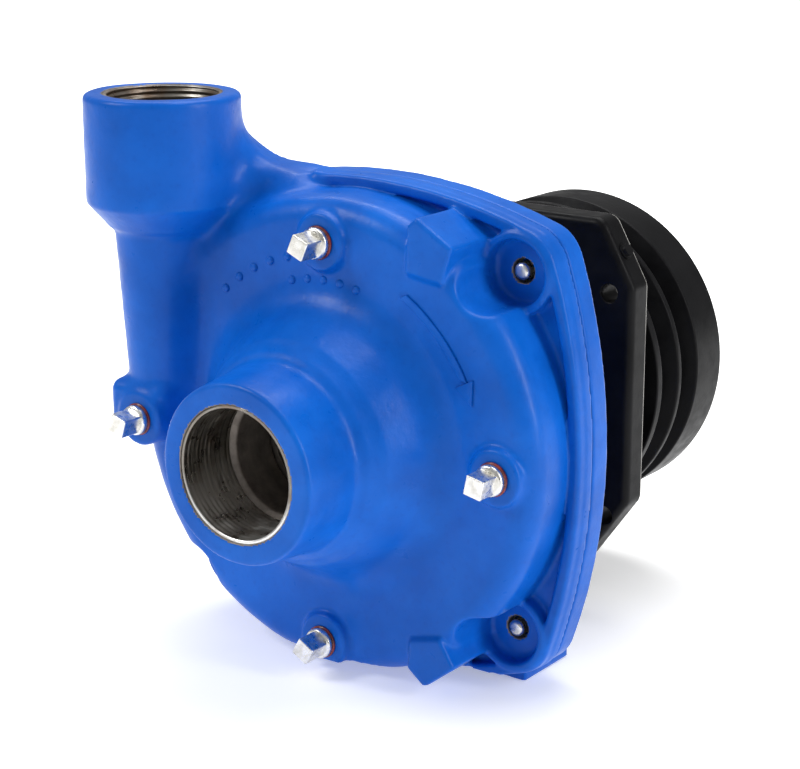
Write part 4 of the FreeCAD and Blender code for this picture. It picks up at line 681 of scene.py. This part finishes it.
def plain_look(name, light, dark, roughness, coat=0.0):
    """Ceramic, carbon, rubber, fibre or resin: fine grain and a slight change of tone."""
    grain = 400
    look = Look(name, light, roughness)
    look.colour(look.ramp(look.noise(grain * 0.4, 4), [(0.3, dark), (0.7, light)]))
    look.rough(look.spread(look.noise(grain, 3), roughness - 0.07, roughness + 0.09))
    look.shader.inputs["Coat Weight"].default_value = coat
    look.bump(look.cells(grain * 1.6), 0.06, 0.7)
    return look.material


def copper_look():
    """Enamelled wire laid side by side, with painted shade in the grooves between the turns."""
    wire = 0.9
    look = Look("copper_windings", (0.62, 0.22, 0.09), 0.32, 1.0)
    along = look.separate()["Y"]
    turns = look.math("SINE", look.math("MULTIPLY", along, 2 * math.pi / (wire * MM)))
    # painted shade: the colour darkens where the bump dips between turns
    look.colour(look.ramp(look.spread(turns, 0.0, 1.0, -1.0, 1.0),
                          [(0.0, (0.16, 0.045, 0.015)), (1.0, (0.66, 0.25, 0.10))]))
    look.bump(turns, 0.2, 0.8)
    return look.material


PAINT = paint_look()
BORE_LEVEL = turned_iron_look("machined_bore")
BORE_UPRIGHT = turned_iron_look("machined_port", upright=True)
ZINC = zinc_look()
SEALANT = sealant_look()
BLACK = black_look("black_coating")
# the bracket plate's rear edge gets a lighter grey band just ahead of its back face
BLACK_GREY_EDGE_BAND = black_look("black_coating_grey_edge_band", BRACKET_BACK - 1.0, BRACKET_BACK - 0.1)
MACHINED = steel_look("machined_steel_turned", (0.60, 0.59, 0.57), (0.34, 0.33, 0.32), 0.32,
                      ring=False)
BEARING = steel_look("bearing_steel_ground", (0.74, 0.74, 0.73), (0.56, 0.56, 0.56), 0.2)
FRICTION = steel_look("friction_face_steel", (0.22, 0.215, 0.21), (0.07, 0.068, 0.066), 0.42,
                      marks_scale=900)
SPRING = steel_look("spring_strip", (0.30, 0.31, 0.34), (0.15, 0.16, 0.19), 0.3)
IRON = cast_look("impeller_cast_iron", (0.30, 0.27, 0.24), (0.13, 0.11, 0.10), 0.7, 0.5)
GASKET = plain_look("gasket_fibre_sheet", (0.11, 0.13, 0.10), (0.05, 0.06, 0.05), 0.75)
CERAMIC = plain_look("seal_ceramic_white", (0.80, 0.77, 0.70), (0.70, 0.67, 0.61), 0.25, coat=0.4)
CARBON = plain_look("seal_carbon_black", (0.030, 0.030, 0.032), (0.015, 0.015, 0.016), 0.5)
RUBBER = plain_look("black_rubber_moulded", (0.022, 0.021, 0.020), (0.011, 0.011, 0.011), 0.62)
RESIN = plain_look("coil_resin_potting", (0.055, 0.030, 0.016), (0.025, 0.014, 0.008), 0.28,
                   coat=0.5)
COPPER = copper_look()

LOOKS = [
    (GASKET, "casing_gasket"),
    (ZINC, "flange_screws coil_screws impeller_washer impeller_nut hub_rivets hub_washer "
           "hub_bolt armature_rivets pipe_plugs"),
    (SEALANT, "plug_sealant"),
    (BLACK, "lead_clamp_screw coil_shell bracket_screws armature_hub pulley_rotor "
            "clutch_bracket sheave_front sheave_middle sheave_rear"),
    (MACHINED, "pulley_stub bearing_retainer bearing_spacer pump_shaft impeller_key"),
    (COPPER, "coil_winding"),
    (RESIN, "coil_cover"),
    (RUBBER, "lead_grommet seal_cup slinger seal_bellows"),
    (SPRING, "stub_snap_ring seal_case rotor_retainer spring_plate"),
    (CERAMIC, "seal_seat"),
    (BEARING, "front_bearing_outer front_bearing_balls front_bearing_inner rear_bearing_outer "
              "rear_bearing_balls rear_bearing_inner pulley_bearing_outer pulley_bearing_balls "
              "pulley_bearing_inner"),
    (IRON, "impeller"),
    (CARBON, "seal_face"),
    (FRICTION, "armature_plate"),
    (PAINT, "volute_casing discharge_pipe discharge_boss bearing_barrel barrel_ribs foot "
            "mounting_flange"),
]
for look, names in LOOKS:
    for name in names.split():
        node = nodes[name]
        node.data.materials.clear()
        node.data.materials.append(look)


# ---------------------------------------------------------------- the volute casing

def casing_front(radius, station):
    """Suction neck, dome, front plate and rounded rim, as one turned section."""
    neck = soft_outline([(-20, SUCTION_FACE), (32.4, SUCTION_FACE), (35.2, -70), (35.2, -50),
                         (-20, -50)], 1.8, radius, station)
    dome = soft_outline([(-20, -71.5), (37.0, -71.5), (41.5, -66.0), (52.0, -46.0), (52.0, -30),
                         (-20, -30)], 2.5, radius, station)
    disc = soft_outline([(-20, PLATE), (RIM_RADIUS, PLATE), (RIM_RADIUS, 10), (-20, 10)],
                        9.0, radius, station)
    return merged(merged(neck, dome, 5.0), disc, 9.0)


def pipe_section(radius, height):
    """The discharge pipe, widening upwards, and the threaded boss on top of it."""
    top = DISCHARGE_TOP
    pipe = soft_outline([(-20, -9), (13.5, -9), (15.5, 15), (19.0, 70), (19.0, 100), (-20, 100)],
                        4.0, radius, height)
    boss = soft_outline([(-20, 70.5), (21.0, 70.5), (29.0, 79.5), (29.0, top), (-20, top)],
                        2.2, radius, height)
    return merged(pipe, boss, 4.0)


def chamber_section(radius, station):
    """The impeller's chamber and the stepped suction bore ahead of it."""
    ring = soft_outline([(-30, -40), (81.0, -40), (81.0, 10), (-30, 10)], 4.0, radius, station)
    bore = outline_distance([(-20, -120), (24.6, -120), (24.6, -73), (21.5, -71), (21.5, -52),
                             (24.5, -52), (24.5, -35), (-20, -35)], radius, station)
    return np.minimum(ring, bore)


def port_section(radius, height):
    """The discharge duct and the threaded port above it."""
    top = DISCHARGE_TOP
    return outline_distance([(-20, 0), (10.0, 0), (13.5, top - 27), (21.8, top - 25),
                             (21.8, top + 9), (22.9, top + 10), (-20, top + 10)], radius, height)


def build_casting_marks():
    """Raised marks cast on the plate: an arrow for the turning direction and two rows of dots."""
    bm = bmesh.new()
    rise = AXIS_HEIGHT
    half = ARROW_WIDTH / 2
    start, end = (math.radians(value) for value in ARROW_SPAN)
    outline = arc_points(0, rise, ARROW_RADIUS + half, start, end, 20)
    outline += arc_points(0, rise, ARROW_RADIUS - half, end, start, 20)
    add_prism(bm, outline, PLATE - MARK_HEIGHT, MARK_ROOT)
    tip = start - math.radians(ARROW_TIP)
    head = [(ARROW_RADIUS * math.cos(tip), rise + ARROW_RADIUS * math.sin(tip))]
    head += [(reach * math.cos(start), rise + reach * math.sin(start))
             for reach in (ARROW_RADIUS + ARROW_WIDTH * 1.5, ARROW_RADIUS - ARROW_WIDTH * 1.5)]
    add_prism(bm, head, PLATE - MARK_HEIGHT, MARK_ROOT)
    for reach, first, count in DOT_ROWS:
        for index in range(count):
            turn = math.radians(first + index * DOT_STEP)
            x, z = reach * math.cos(turn), rise + reach * math.sin(turn)
            add_lathe(bm, [(0, PLATE - MARK_HEIGHT), (DOT_TOP, PLATE - MARK_HEIGHT),
                           (DOT_BASE, PLATE - 0.1), (DOT_BASE, MARK_ROOT), (0, MARK_ROOT)],
                      (x, 0, z), segments=20)
    show("casting_marks", finished_mesh("casting_marks", bm), "pump", PAINT, [],
         bevel=0.35)


def casing_field(block):
    x, y, h = block.x, block.y, block.h
    body = turned(block, casing_front)
    # the spiral's wide side
    lobe = np.maximum(np.hypot(x, h - LOBE_RISE) - LOBE_RADIUS, np.maximum(x - 4, h - 30) * 0.8)
    body = merged(body, extruded(lobe, y, -43.0, OVERRUN, 8.0), 7.0)
    # flange, and the raised lip that runs round its edge on the side away from the pipe
    flat = outline_distance(flange_outline(), x, h)
    body = merged(body, extruded(flat, y, GROOVE_FLOOR, OVERRUN, CASTING_EDGE), 2.0)
    upper_end, lower_end = -20, 34
    ends = np.where(h > 0, upper_end - x, lower_end - x)
    lip = np.maximum(np.abs(flat + LIP_HALF) - LIP_HALF, ends)
    body = merged(body, extruded(lip, y, CASING_FLANGE, OVERRUN, 1.5), 1.4)
    # a crescent of the lip round each of the two screws on that side
    for side, rise in SCREWS[:1] + SCREWS[3:]:
        reach = np.hypot(x - side, h - rise)
        crescent = np.maximum(np.abs(reach - CRESCENT_RADIUS) - CRESCENT_HALF, flat + 1.0)
        body = merged(body, extruded(crescent, y, CASING_FLANGE - 1.0, OVERRUN, CASTING_EDGE), 1.4)
    # discharge pipe, its boss and the web that ties it to the flange
    pipe = turned_upright(block, pipe_section, DISCHARGE_X, DISCHARGE_Y)
    web = soft_outline(WEB, 6.0, x, h)
    pipe = merged(pipe, extruded(web, y, -34.0, OVERRUN, 9.0), 16.0)
    body = merged(body, pipe, 8.0)
    # ear of the side drain, cast lugs, plug bosses
    ear = brick(block, (EAR_X - EAR_HALF_WIDTH, EAR_FACE, EAR_H - EAR_HALF_HEIGHT),
                (EAR_X + EAR_HALF_WIDTH, EAR_BACK, EAR_H + EAR_HALF_HEIGHT), 4.5)
    body = merged(body, ear, 4.0)
    for outline, end in ((UPPER_LUG, UPPER_LUG_END), (LOWER_LUG, LOWER_LUG_END)):
        lug = soft_outline(outline, 1.2, x, h)
        body = merged(body, extruded(lug, y, LUG_FACE, end, CASTING_EDGE), 2.0)
    for px, ph, face in PLUGS:
        boss = drilled(block, px, ph, PLUG_BOSS_RADIUS)
        body = merged(body, extruded(boss, y, face, face + PLUG_BOSS_DEPTH, CASTING_EDGE), 2.4)
    # clearance for the screws, but not under the pipe
    for side, rise in SCREWS[:1] + SCREWS[2:]:
        spot = drilled(block, side, rise, SPOT_RADIUS)
        body = carved(body, extruded(spot, y, -80, GROOVE_FLOOR + 0.8, 2.0), 1.6)
    body = body + ripple(block, 0.10, 27.0)
    # the waterway, the plugs' holes and the screws' holes
    body = carved(body, waterway(block), 0.5)
    for px, ph, face in PLUGS:
        hole = drilled(block, px, ph, PLUG_HOLE)
        body = carved(body, extruded(hole, y, face - 5, face + 15), 0.6)
    for side, rise in SCREWS:
        hole = drilled(block, side, rise, CASING_HOLE)
        body = carved(body, extruded(hole, y, CASING_FLANGE - 2, OVERRUN), 0.6)
    body = np.maximum(body, y - JOINT)
    return np.maximum(body, FLOOR + CASING_GAP - h)


def waterway(block):
    """Suction bore, impeller chamber, spiral and discharge duct."""
    room = turned(block, chamber_section)
    reach = LOBE_RADIUS - LOBE_WALL
    lobe = np.maximum(np.hypot(block.x, block.h - LOBE_RISE) - reach,
                      np.maximum(block.x, block.h - 20))
    room = np.minimum(room, extruded(lobe, block.y, -38.0, OVERRUN, 3.0))
    return np.minimum(room, turned_upright(block, port_section, DISCHARGE_X, DISCHARGE_Y))


def build_casing():
    block = Block((-109, SUCTION_FACE - 3, FLOOR - 1), (97, JOINT + 3, DISCHARGE_TOP + 3),
                  CAST_STEP)
    mesh = field_mesh("casing_shell", block, casing_field(block), CAST_FACES)
    # surfaces cut by a tool are bare iron
    bare = waterway(block)
    for side, rise in SCREWS:
        hole = drilled(block, side, rise, CASING_HOLE)
        bare = np.minimum(bare, np.maximum(hole, CASING_FLANGE - 1 - block.y))
    bored = faces_near(mesh, block, bare, 0.5)
    show("volute_casting", mesh, "pump", PAINT,
         ["volute_casing", "discharge_pipe", "discharge_boss"])
    mesh.materials.append(IRON)
    mesh.polygons.foreach_set("material_index", bored.astype(np.int32))


# ---------------------------------------------------------------- the mounting flange and foot

def barrel_section(radius, station):
    """The barrel and the collar at its end that carries the bracket."""
    barrel = soft_outline([(-20, -8), (31, -8), (31, 48), (-20, 48)], 1.0, radius, station)
    end = soft_outline([(-20, 42), (47, 42), (47, MOUNT_END), (-20, MOUNT_END)], 1.4, radius,
                       station)
    return merged(barrel, end, 5.0)


def barrel_hollow(radius, station):
    """The seal's pocket, the shaft's passage and the bearings' bore."""
    return outline_distance([(-20, -30), (18, -30), (18, -3), (14, -3), (14, 3), (12, 3), (12, 8),
                             (23.5, 8), (23.5, 70), (-20, 70)], radius, station)


def mount_field(block):
    x, y, h = block.x, block.y, block.h
    flat = outline_distance(flange_outline(), x, h)
    body = extruded(flat, y, FLANGE_FRONT, FLANGE_BACK, 1.3)
    body = merged(body, turned(block, barrel_section), 6.0)
    for across, rise in ((RIB_HALF, RIB_REACH), (RIB_REACH, RIB_HALF)):
        rib = brick(block, (-across, -8, -rise), (across, RIB_END, rise), 1.8)
        body = merged(body, rib, 4.0)
    foot = brick(block, (-FOOT_HALF_WIDTH, -FOOT_HALF_DEPTH, FLOOR - 8),
                 (FOOT_HALF_WIDTH, FOOT_HALF_DEPTH, FLOOR + FOOT_THICKNESS), 0.8)
    body = merged(body, foot, 1.0)
    for side in (-GUSSET_X, GUSSET_X):
        gusset = brick(block, (side - GUSSET_HALF, -8, FLOOR + 2),
                       (side + GUSSET_HALF, FOOT_HALF_DEPTH, GUSSET_TOP), 2.0)
        body = merged(body, gusset, 4.0)
    for side, rise in SCREWS:
        seat = drilled(block, side, rise, SEAT_RADIUS)
        body = carved(body, extruded(seat, y, FLANGE_BACK, 6.0, 0.6), 0.6)
    body = body + ripple(block, 0.08, 24.0)
    # what is machined: the hollow, the casing's pilot, the drain and the holes
    body = carved(body, turned(block, barrel_hollow), 0.5)
    pilot = drilled(block, 0, 0, PILOT_RADIUS)
    body = carved(body, extruded(pilot, y, -40, PILOT_DEPTH), 0.5)
    body = np.maximum(body, -brick(block, *DRAIN_SLOT))
    for side in (-FOOT_HOLE_X, FOOT_HOLE_X):
        hole = np.hypot(x - side, y - FOOT_HOLE_Y) - FOOT_HOLE
        body = carved(body, np.maximum(hole, h - FLOOR - 30), 0.8)
    for across, rise in ring_places(BRACKET_CIRCLE, 45):
        tapped = drilled(block, across, rise, BRACKET_HOLE)
        body = carved(body, np.maximum(tapped, 35 - y), 0.5)
    for side, rise in SCREWS:
        hole = drilled(block, side, rise, MOUNT_HOLE)
        body = carved(body, np.maximum(hole, y - 8), 0.5)
    body = np.maximum(body, FLANGE_FRONT - y)
    body = np.maximum(body, y - MOUNT_END)
    return np.maximum(body, FLOOR - h)


def build_mount():
    block = Block((-97, FLANGE_FRONT - 3, FLOOR - 3), (97, MOUNT_END + 3, 97), CAST_STEP)
    mesh = field_mesh("mount_casting", block, mount_field(block), CAST_FACES)
    show("mount_casting", mesh, "pump", PAINT,
         ["mounting_flange", "bearing_barrel", "barrel_ribs", "foot"])


# ---------------------------------------------------------------- the black bracket plate

def bracket_field(block):
    x, y, h = block.x, block.y, block.h
    flat = soft_outline(BRACKET_OUTLINE, 6.0, x, h)
    front = extruded(flat, y, BRACKET_FRONT, BRACKET_BACK + 10, 3.0)
    body = np.maximum(front, extruded(flat, y, BRACKET_FRONT - 10, BRACKET_BACK, 0.8))
    body = carved(body, drilled(block, 0, 0, BRACKET_BORE), 0.5)
    for side, rise in CORNERS:
        body = carved(body, drilled(block, side * TAB_X, rise * TAB_H, TAB_HOLE), 0.8)
    for screw, small in zip(ring_places(BRACKET_CIRCLE, 45), ring_places(COIL_CIRCLE, 0)):
        body = carved(body, drilled(block, *screw, BRACKET_HOLE), 0.5)
        spot = drilled(block, *screw, BRACKET_SPOT)
        body = carved(body, np.maximum(spot, BRACKET_BACK - BRACKET_SPOT_DEPTH - y), 0.6)
        hole = drilled(block, *small, COIL_HOLE)
        body = carved(body, np.maximum(hole, BRACKET_BACK - COIL_HOLE_DEPTH - y), 0.5)
    return body


def build_bracket():
    block = Block((-73, BRACKET_FRONT - 3, -69), (73, BRACKET_BACK + 3, 75), BRACKET_STEP)
    mesh = field_mesh("bracket_plate", block, bracket_field(block), BRACKET_FACES)
    show("bracket_plate", mesh, "pump", BLACK_GREY_EDGE_BAND, ["clutch_bracket"])


# ---------------------------------------------------------------- the pulley

def build_pulley():
    """The rim with its two belt grooves, each from its first edge to its last."""
    land = GROOVE_PITCH - GROOVE_WIDTH
    first_end = BAND_FRONT - GROOVE_WIDTH - land
    rear_groove = (first_end + land, BAND_FRONT)
    front_groove = (first_end - GROOVE_WIDTH, first_end)
    profile = [(PULLEY_BORE, PULLEY_FRONT), (PULLEY_RADIUS, PULLEY_FRONT)]
    for start, end in (front_groove, rear_groove):
        profile += [(PULLEY_RADIUS, start), (GROOVE_RADIUS, start + GROOVE_FLANK),
                    (GROOVE_RADIUS, end - GROOVE_FLANK), (PULLEY_RADIUS, end)]
    profile += [(PULLEY_RADIUS, PULLEY_BACK), (PULLEY_BORE, PULLEY_BACK)]
    bm = bmesh.new()
    add_lathe(bm, profile, (0, 0, AXIS_HEIGHT), segments=192)
    show("pulley_rim", finished_mesh("pulley_rim", bm), "pulley", BLACK,
         ["sheave_front", "sheave_middle", "sheave_rear"], bevel=0.7, segments=3)


# ---------------------------------------------------------------- plugs and liners

def thread_sleeve(name, outer, crest, depth, start, end, upright=False, x=0.0, y=0.0):
    """A sleeve whose inner side is a helical groove, level or standing upright at (x, y)."""
    turns, rows = 120, 8  # points round the sleeve, and rings of them to each pitch
    count = int((end - start) / THREAD_PITCH * rows)
    along = np.linspace(start, end, count + 1)
    angle = np.linspace(0, 2 * np.pi, turns, endpoint=False)
    phase = (along[:, None] / THREAD_PITCH + angle[None, :] / (2 * np.pi)) % 1.0
    tooth = np.clip(np.abs(phase - 0.5) * 2.4 - 0.2, 0, 1)
    inner = crest + depth * tooth
    rings = [np.full(turns, outer), *inner, np.full(turns, outer)]
    places = [along[0], *along, along[-1]]
    points = []
    for ring, place in zip(rings, places):
        across, rise = ring * np.cos(angle), ring * np.sin(angle)
        if upright:
            points.append(np.stack([x + across, y + rise, np.full(turns, AXIS_HEIGHT + place)], 1))
        else:
            points.append(np.stack([across, np.full(turns, place), AXIS_HEIGHT + rise], 1))
    levels = len(points)
    base = np.arange(levels)[:, None] * turns
    step = np.arange(turns)[None, :]
    after = (step + 1) % turns
    above = (np.arange(levels)[:, None] + 1) % levels * turns
    quads = np.stack([base + step, base + after, above + after, above + step], -1).reshape(-1, 4)
    mesh = raw_mesh(name, np.concatenate(points) * MM, quads)
    bm = bmesh.new()
    bm.from_mesh(mesh)
    return finished_mesh(name, bm)


def build_liners():
    """The threads of the two ports, each starting a little inside its face."""
    lead_in = 0.5
    mesh = thread_sleeve("suction_thread", 24.75, 23.3, 0.22, SUCTION_FACE + lead_in,
                         SUCTION_FACE + THREAD_LENGTH)
    show("suction_thread", mesh, "pump", BORE_LEVEL, [])
    mesh = thread_sleeve("discharge_thread", 21.95, 20.3, 0.75, DISCHARGE_TOP - THREAD_LENGTH,
                         DISCHARGE_TOP - lead_in, True, DISCHARGE_X, DISCHARGE_Y)
    show("discharge_thread", mesh, "pump", BORE_UPRIGHT, [])


def build_plugs():
    """Pipe plugs with a square head, each turned by its own angle, on a round shank."""
    bm = bmesh.new()
    square = polygon(4, PLUG_HALF_SQUARE * math.sqrt(2), start=math.pi / 4)
    collar, shank = 5.7, 5.1
    for (px, ph, face), turn in zip(PLUGS, PLUG_TURNS):
        centre = (px, 0, AXIS_HEIGHT + ph)
        place = Matrix.Translation(Vector(centre) * MM)
        spin = place @ Matrix.Rotation(math.radians(turn), 4, "Y")
        add_prism(bm, square, face - 12.2, face - 2.6, turn=spin)
        add_lathe(bm, [(0, face - 3.6), (5.0, face - 3.6), (collar, face - 3.0),
                       (collar, face - 1.4), (shank, face - 0.6), (shank, face + 8), (0, face + 8)],
                  centre, segments=48)
    show("square_plugs", finished_mesh("square_plugs", bm), "pump", ZINC,
         ["pipe_plugs"], bevel=0.7, segments=3, angle=35)


def build_screws():
    """Hexagon screws with washers behind the flange; their ends stay below the casing's face."""
    bm = bmesh.new()
    tip, back = node_span("flange_screws", 1)
    seat = back - 5.5
    washer = seat + 1.4
    end, shank, head = 3.1, 3.7, 7.5
    for index, (x, rise) in enumerate(SCREWS):
        z = AXIS_HEIGHT + rise
        centre = (x, 0, z)
        add_lathe(bm, [(0, tip), (2.2, tip), (end, tip + 0.9), (end, tip + 6), (shank, tip + 6.6),
                       (shank, seat + 1), (0, seat + 1)], centre, segments=40)
        add_lathe(bm, [(4.0, seat), (8.2, seat), (8.2, washer), (4.0, washer)], centre, segments=48)
        add_prism(bm, polygon(6, head, x, z, 0.4 * index), washer, back)
    show("flange_bolts", finished_mesh("flange_bolts", bm), "pump", ZINC,
         ["flange_screws"], bevel=0.45)


# The rounding of the CAD nodes that stay, by its width.
SOFTENED = {
    0.15: "spring_plate",
    0.2: "armature_rivets hub_rivets hub_washer lead_clamp_screw "
         "stub_snap_ring coil_cover rotor_retainer",
    0.3: "coil_screws bracket_screws armature_plate pump_shaft",
    0.4: "pulley_stub armature_hub impeller impeller_nut",
    0.5: "coil_shell pulley_rotor hub_bolt",
}


def soften_cad_edges():
    """Gives the CAD nodes that stay a small rounding on their edges."""
    softened = [(name, width) for width, names in SOFTENED.items() for name in names.split()]
    for name, width in softened:
        node = nodes[name]
        weld = node.modifiers.new("weld", "WELD")
        weld.merge_threshold = 0.002 * MM
        edge = node.modifiers.new("edges", "BEVEL")
        edge.width = width * MM
        edge.segments = 2
        edge.limit_method = "ANGLE"
        edge.angle_limit = math.radians(32)
        smooth = node.modifiers.new("normals", "WEIGHTED_NORMAL")
        smooth.keep_sharp = False


soften_cad_edges()
build_screws()
build_casing()
build_casting_marks()
build_mount()
build_bracket()
build_pulley()
build_liners()
build_plugs()


# ---------------------------------------------------------------- floor, light and camera

def area_light(name, place, target, size, power):
    lamp = bpy.data.lights.new(name, "AREA")
    lamp.shape = "RECTANGLE"
    lamp.size, lamp.size_y = size
    lamp.energy = power
    thing = bpy.data.objects.new(name, lamp)
    thing.location = place
    aim = Vector(target) - Vector(place)
    thing.rotation_euler = aim.to_track_quat("-Z", "Y").to_euler()
    bpy.context.scene.collection.objects.link(thing)


def floor():
    """A white floor that glows a little, just under the foot."""
    half_width, glow, drop = 6.0, 0.36, 0.0005
    bm = bmesh.new()
    bmesh.ops.create_grid(bm, x_segments=8, y_segments=8, size=half_width)
    mesh = bpy.data.meshes.new("studio_floor")
    bm.to_mesh(mesh)
    bm.free()
    look = Look("studio_floor_white", (0.93, 0.93, 0.93), 0.6)
    look.rough(look.spread(look.noise(3), 0.55, 0.7))
    look.shader.inputs["Emission Color"].default_value = (1, 1, 1, 1)
    look.shader.inputs["Emission Strength"].default_value = glow
    mesh.materials.append(look.material)
    thing = bpy.data.objects.new("studio_floor", mesh)
    thing.location.z = -drop
    bpy.context.scene.collection.objects.link(thing)


def studio():
    world = bpy.data.worlds.new("studio")
    world.use_nodes = True
    back = world.node_tree.nodes["Background"]
    back.inputs["Color"].default_value = (1.0, 1.0, 1.0, 1)
    back.inputs["Strength"].default_value = 0.32
    bpy.context.scene.world = world
    middle = (0, -0.02, 0.09)
    area_light("key", (-0.85, -0.95, 1.20), middle, (0.6, 0.6), 12)
    area_light("right", (1.25, 0.10, 0.55), middle, (0.25, 0.9), 8)
    area_light("top", (0.10, 0.20, 1.35), middle, (0.9, 0.5), 6.5)
    area_light("backdrop", (-0.6, 0.9, 1.6), (-0.9, 2.2, 0.3), (1.5, 1.5), 60)
    floor()


def camera():
    azimuth, elevation = math.radians(CAMERA_AZIMUTH), math.radians(CAMERA_ELEVATION)
    level = math.cos(elevation)
    back = Vector((math.sin(azimuth) * level, -math.cos(azimuth) * level, math.sin(elevation)))
    lens = bpy.data.cameras.new("camera")
    lens.sensor_width = CAMERA_SENSOR
    lens.lens = CAMERA_LENS
    thing = bpy.data.objects.new("camera", lens)
    thing.location = CAMERA_PLACE
    thing.rotation_euler = (-back).to_track_quat("-Z", "Y").to_euler()
    bpy.context.scene.collection.objects.link(thing)
    bpy.context.scene.camera = thing


studio()
camera()
bpy.context.scene.view_settings.view_transform = "Standard"
